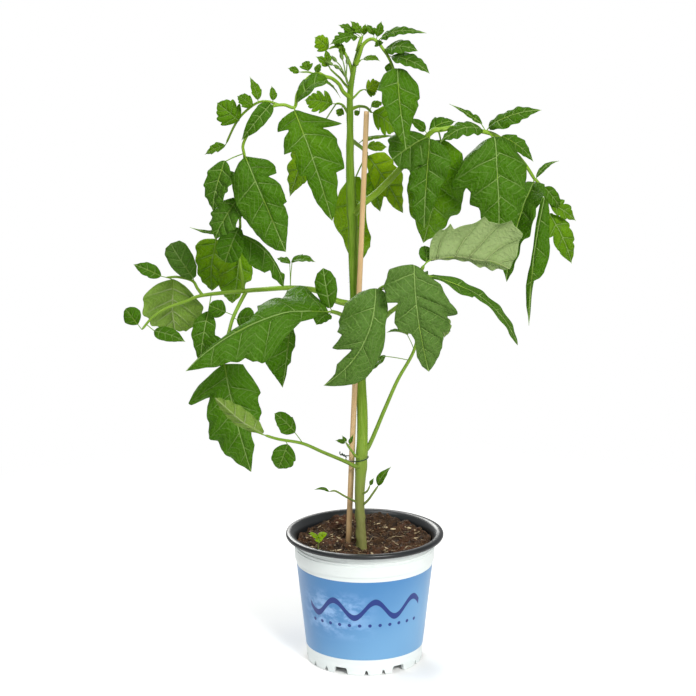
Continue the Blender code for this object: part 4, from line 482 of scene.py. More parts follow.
def carried_frames(line: np.ndarray) -> tuple[np.ndarray, np.ndarray]:
    """Give two cross directions that don't twist along a line.

    Each step turns the last cross direction by the least turn that keeps it square to
    the line.

    Args:
        line: points along the line.

    Returns:
        First and second cross directions, one row each.
    """
    tangents = unit(np.gradient(line, axis=0))
    across = np.empty_like(tangents)
    last = np.cross(tangents[0], (0.31, 0.95, 0.1))
    for k, tangent in enumerate(tangents):
        last = unit(last - tangent * (last @ tangent))
        across[k] = last
    return across, np.cross(tangents, across)


def swept(line: np.ndarray, turn: np.ndarray, reach: np.ndarray) -> np.ndarray:
    """Lay rings round a line: each column stands off at its turn, as far as its reach says.

    Args:
        line: the points in the middle of the rings.
        turn: the turn of each column, in radians.
        reach: the distance from the line, rings by columns.

    Returns:
        Points, rings by columns by 3.
    """
    across, upward = carried_frames(line)
    spokes = np.cos(turn)[:, None] * across[:, None] + np.sin(turn)[:, None] * upward[:, None]
    return line[:, None] + spokes * reach[..., None]


def hash_waves(x: np.ndarray, y: np.ndarray, seed: float) -> np.ndarray:
    """Smooth uneven waves of about unit size: a sum of five crossed sines.

    Args:
        x: places the one way.
        y: places the other way.
        seed: the number that the sines' turns come from.

    Returns:
        The height of the waves at each place.
    """
    total = np.zeros(np.broadcast(x, y).shape)
    for k in range(1, 6):
        turn = seed * 12.9898 * k + 2.399 * k
        pace = 0.55 + 0.33 * k
        wave = np.sin(pace * (x * math.cos(turn) + y * math.sin(turn)) + 5.1 * turn)
        total += wave / (0.6 + 0.4 * k)
    return total / 2.2


def random_places(count: int, seed: int) -> np.ndarray:
    """Rows of four even random numbers from a fixed seed."""
    return np.random.default_rng(seed).random((count, 4))


def link(name: str, data: bpy.types.ID) -> bpy.types.Object:
    """Put a new object into the scene.

    Args:
        name: its name.
        data: its mesh, light or camera.

    Returns:
        The object.
    """
    obj = bpy.data.objects.new(name, data)
    bpy.context.scene.collection.objects.link(obj)
    return obj


class Fabric:
    """Gathers closed surfaces into one mesh with two UV maps.

    Each vertex keeps a tone and a pitch for the materials.
    """

    MAPS = ("pattern", "flat")

    def __init__(self) -> None:
        """Start with nothing gathered."""
        self.count = 0
        self.parts: dict[str, list[np.ndarray]] = defaultdict(list)

    def keep(self, points: np.ndarray, faces: np.ndarray, uvs: list[np.ndarray],
             slots: np.ndarray, tone: float, pitch: float) -> None:
        """Keep some points and their faces.

        Args:
            points: places in millimetres.
            faces: the corners of each face, counted from the mesh's first point.
            uvs: for each UV map, two numbers for each corner.
            slots: the material slot of each face.
            tone: the points' tone.
            pitch: the points' pitch.
        """
        self.parts["points"].append(points)
        self.parts["corners"].append(faces.ravel())
        self.parts["sizes"].append(np.full(*faces.shape))
        self.parts["slots"].append(slots)
        for name, uv in zip(self.MAPS, uvs):
            self.parts[name].append(uv.ravel())
        self.parts["tone"].append(np.full(len(points), tone))
        self.parts["pitch"].append(np.full(len(points), pitch))
        self.count += len(points)

    def add(self, rings: np.ndarray, maps: tuple = (), slots: np.ndarray | int = 0,
            tone: float = 0.0, pitch: float = 0.01, closed: bool = False) -> None:
        """Add a surface whose rings close round and whose ends are capped.

        Quad (i, j) joins columns j and j + 1 of rings i and i + 1, and a fan from the
        mean of the first and the last ring closes each end, unless the rings themselves
        run round and meet.

        Args:
            rings: points in millimetres, rings by columns by 3.
            maps: the pattern and the flat UV map, each rings by (columns + 1) by 2.
            slots: the material slot of all faces, of each column, or of each ring in a column.
            tone: the shade that the material gives it.
            pitch: the metres between its veins.
            closed: whether the last ring meets the first.
        """
        m, n = rings.shape[:2]
        if not maps:
            turns = np.linspace(0, 1, n + 1)[None]
            steps = np.linalg.norm(np.diff(rings.mean(1), axis=0), axis=1)
            length = np.concatenate([[0], np.cumsum(steps)])[:, None]
            girth = np.linalg.norm(np.diff(rings, axis=1), axis=2).sum(1).max()
            maps = (np.stack(np.broadcast_arrays(turns, length / max(length[-1, 0], 1e-6)), -1),
                    np.stack(np.broadcast_arrays(turns * girth * MM, length * MM), -1))
        ids = self.count + np.arange(m * n).reshape(m, n)
        rows = np.arange(m if closed else m - 1)
        i, j = (g.ravel() for g in np.meshgrid(rows, np.arange(n), indexing="ij"))
        i2, j2 = (i + 1) % m, (j + 1) % n
        quads = np.stack([ids[i, j], ids[i, j2], ids[i2, j2], ids[i2, j]], 1)
        uvs = [np.stack([uv[i, j], uv[i, j + 1], uv[i2, j + 1], uv[i2, j]], 1) for uv in maps]
        grid = np.broadcast_to(np.asarray(slots), (m, n))
        self.keep(rings.reshape(-1, 3), quads, uvs, grid[i, j], tone, pitch)
        if closed:
            return
        here, ahead = np.arange(n), (np.arange(n) + 1) % n
        for ring, first, second in ((0, ahead, here), (m - 1, here, ahead)):
            fan = np.stack([np.full(n, self.count), ids[ring, first], ids[ring, second]], 1)
            uvs = [np.stack([np.broadcast_to(uv[ring].mean(0), (n, 2)), uv[ring, first],
                             uv[ring, second]], 1) for uv in maps]
            self.keep(rings[ring].mean(0)[None], fan, uvs, grid[ring], tone, pitch)

    def tube(self, line: np.ndarray, radii: np.ndarray, sides: int, slot: int = 0, tone: float = 0.0,
             ridges: tuple[int, float] = (0, 0.0)) -> None:
        """Add a round tube, swelled by a cosine of the turn where it has ridges.

        Args:
            line: points along the tube in millimetres.
            radii: its radius at each point.
            sides: columns round it.
            slot: its material slot.
            tone: the shade that the material gives it.
            ridges: how many ridges it has, and their height as a share of its radius.
        """
        turn = circle(sides)
        reach = np.asarray(radii)[:, None] * (1 + ridges[1] * np.cos(ridges[0] * turn))
        self.add(swept(line, turn, reach), slots=slot, tone=tone)

    def spike(self, root: np.ndarray, tip: np.ndarray, radius: float) -> None:
        """Add one hair: a closed three-sided spike.

        Args:
            root: the middle of its foot in millimetres.
            tip: its tip.
            radius: the foot's radius.
        """
        ahead = unit(tip - root)
        first = unit(np.cross(ahead, (0.31, 0.95, 0.1)))
        turns = circle(3)[:, None]
        foot = root + radius * (np.cos(turns) * first + np.sin(turns) * np.cross(ahead, first))
        faces = self.count + np.array(((2, 1, 0), (0, 1, 3), (1, 2, 3), (2, 0, 3)))
        uvs = [np.tile((0.0, 0.5), (12, 1))] * 2
        self.keep(np.vstack([foot, tip[None]]), faces, uvs, np.zeros(4), 0.0, 0.0)

    def build(self, name: str, materials: list[bpy.types.Material], node: str = "") -> bpy.types.Object:
        """Put everything gathered into one mesh object at the origin.

        Args:
            name: the piece's name.
            materials: one for each slot.
            node: the CAD node that the piece stands for, if it does.

        Returns:
            The new object, riding on the root body.
        """
        parts = {key: np.concatenate(rows) for key, rows in self.parts.items()}
        mesh = bpy.data.meshes.new(name)
        mesh.vertices.add(self.count)
        mesh.vertices.foreach_set("co", (parts["points"] * MM + POT_AXIS).ravel())
        mesh.loops.add(len(parts["corners"]))
        mesh.loops.foreach_set("vertex_index", parts["corners"])
        mesh.polygons.add(len(parts["sizes"]))
        mesh.polygons.foreach_set("loop_start", np.concatenate([[0], np.cumsum(parts["sizes"])[:-1]]))
        mesh.polygons.foreach_set("material_index", parts["slots"].astype(int))
        mesh.update(calc_edges=True)
        for key in self.MAPS:
            mesh.uv_layers.new(name=key).data.foreach_set("uv", parts[key])
        for key in ("tone", "pitch"):
            mesh.attributes.new(key, "FLOAT", "POINT").data.foreach_set("value", parts[key])
        mesh.shade_smooth()
        for material in materials:
            mesh.materials.append(material)
        piece = link(name, mesh)
        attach(piece, "root")
        if node:
            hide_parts(node)
        LOG.info("%s: %d faces", name, len(mesh.polygons))
        return piece


# ---------------------------------------------------------------- finishes

@dataclass(frozen=True)
class Value:
    """What a node gives: a number, a place or a colour. It takes part in sums."""

    sheet: "Sheet"
    socket: bpy.types.NodeSocket

    def __add__(self, other: object) -> "Value":
        """The sum with a number or another value."""
        return self.sheet.maths("ADD", self, other)

    def __sub__(self, other: object) -> "Value":
        """The difference from a number or another value."""
        return self.sheet.maths("SUBTRACT", self, other)

    def __mul__(self, other: object) -> "Value":
        """The product with a number or another value."""
        return self.sheet.maths("MULTIPLY", self, other)

    def __abs__(self) -> "Value":
        """The size without its sign."""
        return self.sheet.maths("ABSOLUTE", self)


class Sheet:
    """The node tree of a material or a world, with a short method for each kind of node."""

    def __init__(self, block: bpy.types.Material | bpy.types.World, shader: str = "Principled BSDF") -> None:
        """Open the nodes of a new material or world.

        Args:
            block: the material or world.
            shader: the name of its first shader node.
        """
        block.use_nodes = True
        self.block = block
        self.tree = block.node_tree
        self.shader = self.tree.nodes[shader]

    def put(self, node: bpy.types.Node, inputs: dict[str | int, object]) -> None:
        """Link or set the inputs of a node.

        Args:
            node: the node.
            inputs: values by the inputs' names or numbers; a colour comes without its alpha.
        """
        for key, value in inputs.items():
            socket = node.inputs[key]
            if isinstance(value, Value):
                self.tree.links.new(value.socket, socket)
            elif socket.type == "RGBA":
                socket.default_value = (*value, 1.0)
            else:
                socket.default_value = value

    def node(self, kind: str, inputs: dict[str | int, object], output: str | int = 0,
             **settings: object) -> Value:
        """Add a node.

        Args:
            kind: its type, without the ShaderNode at the front.
            inputs: what goes into its inputs, by their names or numbers.
            output: which of its outputs is wanted.
            settings: its properties.

        Returns:
            What comes out of it.
        """
        node = self.tree.nodes.new(f"ShaderNode{kind}")
        for key, value in settings.items():
            setattr(node, key, value)
        self.put(node, inputs)
        return Value(self, node.outputs[output])

    def place(self, source: str = "") -> Value:
        """Object coordinates, or the UV map of the given name."""
        return self.node("UVMap", {}, uv_map=source) if source else self.node("TexCoord", {}, "Object")

    def attribute(self, name: str) -> Value:
        """A number kept on the mesh's vertices."""
        return self.node("Attribute", {}, "Fac", attribute_name=name)

    def scaled(self, place: Value, *scale: float) -> Value:
        """The place with each axis multiplied."""
        return self.node("Mapping", {"Vector": place, "Scale": scale})

    def split(self, place: Value) -> list[Value]:
        """The three numbers of a place."""
        return [Value(self, out) for out in self.node("SeparateXYZ", {0: place}).socket.node.outputs]

    def maths(self, kind: str, *values: object, clamp: bool = False) -> Value:
        """One Math node of the given operation."""
        return self.node("Math", dict(enumerate(values)), operation=kind, use_clamp=clamp)

    def ramp(self, value: Value, low: float, high: float, start: float = 0.0, end: float = 1.0) -> Value:
        """Smooth step of the value from low to high, giving start to end."""
        inputs = dict(enumerate((value, low, high, start, end)))
        return self.node("MapRange", inputs, interpolation_type="SMOOTHSTEP")

    def fade(self, value: Value, low: float, high: float, start: float = 1.0) -> Value:
        """Smooth step down from start to nothing."""
        return self.ramp(value, low, high, start, 0.0)

    def noise(self, place: Value, scale: float, detail: float = 3.0, rough: float = 0.55) -> Value:
        """Noise between 0 and 1."""
        return self.node("TexNoise", {"Vector": place, "Scale": scale, "Detail": detail, "Roughness": rough})

    def grain(self, stretch: float, scale: float, detail: float = 3.0, rough: float = 0.55) -> Value:
        """Noise on the flat map, drawn out along the piece when stretch is small."""
        return self.noise(self.scaled(self.place("flat"), 1.0, stretch, 1.0), scale, detail, rough)

    def cells(self, place: Value, scale: float, feature: str = "DISTANCE_TO_EDGE") -> Value:
        """Distance in a Voronoi pattern."""
        return self.node("TexVoronoi", {"Vector": place, "Scale": scale}, "Distance", feature=feature)

    def mix(self, factor: Value, low: object, high: object) -> Value:
        """Mix of two colours."""
        return self.node("Mix", {0: factor, 6: low, 7: high}, 2, data_type="RGBA")

    def bump(self, height: Value, strength: float, distance: float, under: Value | None = None) -> Value:
        """Bent normals from a height in units of distance, which is in metres."""
        more = {"Normal": under} if under else {}
        return self.node("Bump", {"Strength": strength, "Distance": distance, "Height": height} | more)

    def finish(self, colour: Value, roughness: object, specular: float,
               normal: Value | None = None) -> bpy.types.Material:
        """Fill in the Principled shader.

        Args:
            colour: its base colour.
            roughness: its roughness.
            specular: its specular level.
            normal: its bent normals, if it has them.

        Returns:
            The finished material.
        """
        inputs = {"Base Color": colour, "Roughness": roughness, "Specular IOR Level": specular}
        self.put(self.shader, inputs | ({"Normal": normal} if normal else {}))
        return self.block

    def cover(self, share: object, other: Value) -> bpy.types.Material:
        """Mix a share of another shader over the first.

        Args:
            share: how much of the other shader shows.
            other: what the other shader gives.

        Returns:
            The finished material.
        """
        both = self.node("MixShader", {0: share, 1: Value(self, self.shader.outputs[0]), 2: other})
        self.put(self.tree.nodes["Material Output"], {"Surface": both})
        return self.block


def new_sheet(name: str) -> Sheet:
    """The sheet of a new material."""
    return Sheet(bpy.data.materials.new(name))


class Side(Enum):
    """The two sides of a blade, each with the way that its veins stand out."""

    UPPER = -1.0
    LOWER = 1.0


@dataclass(frozen=True)
class BladeFinish:
    """Leaf lamina: mottled green, paler veins and their fine net, and light let through.

    The pattern map holds the count of lateral veins passed and the share of the half
    width, so a vein runs where the first is a whole number. Half widths of veins and of
    the shadow beside them are in metres, where they begin to fade and where they end.
    """

    LATERAL, MIDDLE, SHADOW = (0.0002, 0.0007), (0.0002, 0.0008), (0.0006, 0.0024)
    WANDER_SCALE, MOTTLE_SCALE, SPECK_SCALE = 110.0, 55.0, 900.0
    NET_SCALE, BLISTER_SCALE, GRAIN_SCALE = 380.0, 300.0, 1500.0
    YOUNG_PITCH, GROWN_PITCH = 0.002, 0.009

    side: Side
    young_and_painted_backlight: Colour
    fresh: Colour
    mature: Colour
    old_and_painted_sheen: Colour
    vein: Colour
    shadow: Colour
    glow: Colour
    share: float
    roughness: float

    def material(self) -> bpy.types.Material:
        """Build the material.

        Returns:
            The finished leaf material for one side.
        """
        s = new_sheet(f"leaf_{self.side.name.lower()}")
        passed, outward, _ = s.split(s.place("pattern"))
        flat = s.place("flat")
        across = abs(s.split(flat)[0])
        pitch = s.attribute("pitch")
        edge = abs(outward)
        passed = passed + (s.noise(flat, self.WANDER_SCALE, 2.0) - 0.5) * 0.3 * edge
        near = abs(s.maths("FRACT", passed + 0.5) - 0.5)
        beside = near * pitch
        lateral = s.fade(beside, *self.LATERAL) * s.maths("SUBTRACT", 1.1, edge, clamp=True)
        middle = s.fade(across, *self.MIDDLE)
        fork = s.fade(abs(s.maths("FRACT", edge * 4.0 + near * 2.6) - 0.5), 0.03, 0.12)
        net = s.fade(s.cells(flat, self.NET_SCALE), 0.02, 0.14)
        fine = s.maths("MAXIMUM", fork * 0.3, net * 0.1)
        veins = s.maths("MAXIMUM", s.maths("MAXIMUM", middle, lateral), fine)
        mottle = s.noise(s.place(), self.MOTTLE_SCALE, 4.0)
        tone = s.attribute("tone") + (mottle - 0.5) * 0.7
        # Below -1 the pale young colour comes in; on the back leaflets it also paints the glow of backlight.
        body = s.mix(s.ramp(tone, -2.0, -1.0), self.young_and_painted_backlight, self.fresh)
        body = s.mix(s.ramp(tone, -1.0, 0.0), body, self.mature)
        # Above 0 the aged leaves' colour comes in, lightened and blued as a painted sheen.
        body = s.mix(s.ramp(tone, 0.0, 1.0), body, self.old_and_painted_sheen)
        specks = s.ramp(s.noise(flat, self.SPECK_SCALE, 2.0), 0.45, 0.7, 0.0, 0.1)
        body = s.mix(specks, body, self.fresh)
        shade = s.fade(s.maths("MINIMUM", beside, across), *self.SHADOW, 0.34)
        grown = s.ramp(pitch, self.YOUNG_PITCH, self.GROWN_PITCH, 0.25, 0.8)
        body = s.mix(shade * grown, body, self.shadow)
        colour = s.mix(veins * grown, body, self.vein)
        blister = s.ramp(s.cells(flat, self.BLISTER_SCALE), 0.0, 0.45)
        height = veins * self.side.value - blister * (0.6 * self.side.value)
        grain = s.noise(flat, self.GRAIN_SCALE, 2.0)
        normal = s.bump(grain, 0.3, 0.0003, s.bump(height, 0.85, 0.0009))
        rough = s.ramp(mottle, 0.2, 0.8, self.roughness - 0.08, self.roughness + 0.08)
        s.finish(colour, rough, 0.1, normal)
        light = s.mix(veins * 0.35, self.glow, self.vein)
        return s.cover(self.share, s.node("BsdfTranslucent", {"Color": light, "Normal": normal}))


@dataclass(frozen=True)
class StalkFinish:
    """Hairy green stem and stalks: streaked along, browner near the soil.

    Heights are in metres, where a change of colour begins and where it ends.
    """

    YOUNG_HEIGHTS, FOOT_HEIGHTS = (0.15, 0.43), (0.094, 0.19)
    STREAK_SCALE, HAIR_SCALE = 900.0, 5200.0
    SHALLOW_LIGHT = {"Subsurface Weight": 0.12, "Subsurface Radius": (0.6, 1.0, 0.3),
                     "Subsurface Scale": 0.0015}

    name: str
    young: Colour
    green: Colour
    streak: Colour
    foot: Colour

    def material(self) -> bpy.types.Material:
        """Build the material, whose colour also follows the height above the soil.

        Returns:
            The finished material.
        """
        s = new_sheet(self.name)
        z = s.split(s.place())[2]
        streaks = s.grain(0.06, self.STREAK_SCALE)
        hairs = s.grain(0.3, self.HAIR_SCALE, 2.0, 0.7)
        body = s.mix(s.ramp(z, *self.YOUNG_HEIGHTS), self.green, self.young)
        body = s.mix(s.ramp(streaks, 0.35, 0.75) * 0.55, body, self.streak)
        low = z + (s.noise(s.place(), 60.0) - 0.5) * 0.03
        body = s.mix(s.fade(low, *self.FOOT_HEIGHTS, 0.9), body, self.foot)
        body = s.mix(s.ramp(hairs, 0.56, 0.8, 0.0, 0.5), body, self.streak)
        normal = s.bump(hairs, 0.5, 0.00016, s.bump(streaks, 0.5, 0.0004))
        s.put(s.shader, self.SHALLOW_LIGHT)
        return s.finish(body, 0.55, 0.3, normal)


@dataclass(frozen=True)
class PlasticFinish:
    """Thin moulded plastic, faintly uneven from the mould."""

    name: str
    colour: Colour
    roughness: float

    def material(self) -> bpy.types.Material:
        """Build the material: a slow ripple, fine orange peel and slight scuffs.

        Returns:
            The finished material.
        """
        s = new_sheet(self.name)
        place = s.place()
        scuff = s.ramp(s.noise(s.scaled(place, 1.0, 1.0, 6.0), 70.0, 5.0, 0.7), 0.55, 0.75)
        ripple = s.bump(s.noise(place, 45.0, 2.0), 0.25, 0.0012)
        normal = s.bump(s.noise(place, 900.0, 2.0), 0.12, 0.00015, ripple)
        dull = tuple(c * 0.86 + 0.02 for c in self.colour)
        rough = s.ramp(scuff, 0.0, 1.0, self.roughness, self.roughness + 0.18)
        return s.finish(s.mix(scuff * 0.4, self.colour, dull), rough, 0.45, normal)


@dataclass(frozen=True)
class PrintFinish:
    """Printed film round the pot: sky blue, with a pale brushed cloud and a plain wave.

    The pattern map runs once round the pot and once up the band. The front is where it
    is a half.
    """

    deep: Colour = (0.057, 0.21, 0.46)
    pale: Colour = (0.145, 0.34, 0.58)
    cloud: Colour = (0.3, 0.49, 0.78)
    ink: Colour = (0.004, 0.025, 0.19)
    girth_mm: float = 302.0
    height_mm: float = 65.0
    front_mm: float = 46.0
    wave_mm: float = 6.5
    wave_length_mm: float = 31.0
    wave_height_mm: float = 42.0
    line_mm: float = 4.6
    dots_height_mm: float = 29.0
    dot_mm: float = 2.4
    edge_mm: float = 0.3

    def material(self) -> bpy.types.Material:
        """Build the material.

        The wave's centre line is a sine of the way round, and the dots are circles on a
        second line under it, both only on the front.

        Returns:
            The finished material.
        """
        s = new_sheet("printed_band")
        turn, up, _ = s.split(s.place("pattern"))
        place = s.place()
        soft = s.noise(place, 16.0, 2.0)
        lean = (turn - 0.5) * 1.9 + s.maths("SUBTRACT", 0.55, up) * 0.75 + (soft - 0.5) * 0.5
        body = s.mix(s.ramp(lean, -0.35, 0.55), self.deep, self.pale)
        brushed = s.noise(s.scaled(place, 1.0, 1.0, 1.7), 85.0, 5.0, 0.62)
        veil = s.fade(abs(turn - 0.42), 0.02, 0.13) * s.fade(abs(up - 0.56), 0.1, 0.36)
        body = s.mix(veil * s.ramp(brushed, 0.4, 0.62) * 0.75, body, self.cloud)
        x = (turn - 0.5) * self.girth_mm
        z = up * self.height_mm
        swing = s.maths("SINE", x * (FULL_TURN / self.wave_length_mm)) * self.wave_mm
        off = abs(z - self.wave_height_mm - swing)
        wave = s.fade(off, self.line_mm / 2, self.line_mm / 2 + self.edge_mm)
        gap = self.wave_length_mm / 4
        step = (s.maths("FRACT", x * (1 / gap)) - 0.5) * gap
        drop = z - self.dots_height_mm
        far = s.maths("SQRT", step * step + drop * drop)
        dots = s.fade(far, self.dot_mm / 2, self.dot_mm / 2 + self.edge_mm)
        front = s.fade(abs(x), self.front_mm, self.front_mm + self.edge_mm)
        colour = s.mix(s.maths("MAXIMUM", wave, dots) * front, body, self.ink)
        ripple = s.bump(s.noise(place, 40.0, 2.0), 0.22, 0.0012)
        return s.finish(colour, s.ramp(soft, 0.2, 0.8, 0.3, 0.4), 0.45, ripple)


@dataclass(frozen=True)
class SoilFinish:
    """Moist peat: red brown on the crumbs, with pale specks, and near black in the hollows, partly the
    peat's own dark colour and partly painted shade.
    """

    name: str
    dark: Colour
    brown: Colour
    red: Colour
    pale: Colour

    def material(self) -> bpy.types.Material:
        """Build the material from crumbs of three sizes.

        Returns:
            The finished material.
        """
        s = new_sheet(self.name)
        place = s.place()
        lumps = s.noise(place, 140.0, 6.0, 0.65)
        # Where the lumps sink the colour goes near black: painted shade in the hollows, over the peat's own
        # dark colour.
        body = s.mix(s.ramp(lumps, 0.35, 0.62), self.dark, self.brown)
        body = s.mix(s.ramp(s.noise(place, 60.0), 0.5, 0.7), body, self.red)
        body = s.mix(s.ramp(s.noise(place, 800.0, 2.0, 0.6), 0.66, 0.73) * 0.6, body, self.pale)
        normal = s.bump(s.cells(place, 520.0, "F1"), 0.7, 0.0008, s.bump(lumps, 0.9, 0.0016))
        return s.finish(body, s.ramp(lumps, 0.3, 0.7, 0.7, 0.95), 0.3, normal)


@dataclass(frozen=True)
class FibreFinish:
    """Dry fibres, twigs and bark in the soil, each of its own shade."""

    name: str
    dark: Colour
    light: Colour

    def material(self) -> bpy.types.Material:
        """Build the material: the piece's own tone picks its shade.

        Returns:
            The finished material.
        """
        s = new_sheet(self.name)
        grain = s.grain(0.15, 1500.0)
        body = s.mix(s.ramp(s.attribute("tone"), 0.0, 1.0), self.dark, self.light)
        body = s.mix(s.ramp(grain, 0.3, 0.8, 0.0, 0.45), body, self.dark)
        return s.finish(body, 0.8, 0.3, s.bump(grain, 0.5, 0.0003))


@dataclass(frozen=True)
class CaneFinish:
    """Split bamboo: straw coloured, with long grain, dark flecks and a brown foot."""

    FOOT_HEIGHTS = (0.09, 0.105)
    GRAIN_SCALE, FLECK_SCALE, SLOW_SCALE = 1400.0, 1100.0, 90.0

    straw: Colour = (0.74, 0.53, 0.29)
    tan: Colour = (0.58, 0.37, 0.17)
    dark: Colour = (0.16, 0.08, 0.03)

    def material(self) -> bpy.types.Material:
        """Build the material with grain along the cane.

        Returns:
            The finished material.
        """
        s = new_sheet("cane")
        grain = s.grain(0.02, self.GRAIN_SCALE, 4.0, 0.6)
        flecks = s.ramp(s.grain(0.09, self.FLECK_SCALE, 2.0), 0.67, 0.74)
        body = s.mix(s.ramp(grain, 0.3, 0.75), self.straw, self.tan)
        body = s.mix(s.ramp(s.grain(0.3, self.SLOW_SCALE), 0.35, 0.75, 0.0, 0.55), body, self.tan)
        body = s.mix(flecks * 0.5, body, self.dark)
        body = s.mix(s.fade(s.split(s.place())[2], *self.FOOT_HEIGHTS, 0.55), body, self.dark)
        return s.finish(body, s.ramp(grain, 0.2, 0.8, 0.5, 0.7), 0.4, s.bump(grain, 0.5, 0.0003))


class Finishes:
    """Every material of the plant, made once."""

    def __init__(self) -> None:
        """Build the materials."""
        self.upper = BladeFinish(
            # The pale young colour here also paints the glow of backlight on the back leaflets.
            Side.UPPER, young_and_painted_backlight=(0.36, 0.55, 0.002), fresh=(0.15, 0.31, 0.001), mature=(0.052, 0.15, 0.001),
            # The aged leaves' colour here is lightened and blued as a painted sheen.
            old_and_painted_sheen=(0.1, 0.18, 0.04), vein=(0.38, 0.57, 0.16), shadow=(0.018, 0.065, 0.001),
            glow=(0.33, 0.6, 0.002), share=0.34, roughness=0.5).material()
        self.lower = BladeFinish(
            Side.LOWER, young_and_painted_backlight=(0.4, 0.58, 0.04), fresh=(0.34, 0.52, 0.06), mature=(0.24, 0.38, 0.06),
            old_and_painted_sheen=(0.38, 0.5, 0.21), vein=(0.46, 0.55, 0.24), shadow=(0.14, 0.25, 0.04),
            glow=(0.3, 0.58, 0.01), share=0.28, roughness=0.65).material()
        self.stalk = StalkFinish(
            "stalk", young=(0.17, 0.32, 0.006), green=(0.14, 0.27, 0.012), streak=(0.33, 0.47, 0.08),
            foot=(0.16, 0.17, 0.06)).material()
        self.stem = StalkFinish(
            "stem_skin", young=(0.1, 0.22, 0.001), green=(0.15, 0.29, 0.006), streak=(0.32, 0.45, 0.07),
            foot=(0.22, 0.21, 0.075)).material()
        self.bud = StalkFinish(
            "bud_skin", young=(0.13, 0.24, 0.035), green=(0.13, 0.24, 0.035), streak=(0.35, 0.44, 0.17),
            foot=(0.13, 0.24, 0.035)).material()
        self.white = PlasticFinish("white_plastic", (0.74, 0.79, 0.78), 0.36).material()
        self.black = PlasticFinish("black_plastic", (0.012, 0.014, 0.016), 0.33).material()
        self.band = PrintFinish().material()
        # In both peat finishes the dark colour lies in the hollows, partly as painted shade.
        self.soil = SoilFinish(
            "peat", dark=(0.012, 0.006, 0.003), brown=(0.06, 0.03, 0.012), red=(0.11, 0.045, 0.022),
            pale=(0.38, 0.29, 0.17)).material()
        self.crumb = SoilFinish(
            "peat_crumb", dark=(0.025, 0.012, 0.006), brown=(0.09, 0.045, 0.02), red=(0.13, 0.055, 0.028),
            pale=(0.42, 0.33, 0.2)).material()
        self.fibre = FibreFinish("fibre", dark=(0.1, 0.05, 0.022), light=(0.62, 0.5, 0.3)).material()
        self.cane = CaneFinish().material()
        self.wire = PlasticFinish("green_wire", (0.012, 0.045, 0.02), 0.4).material()


# ---------------------------------------------------------------- leaves

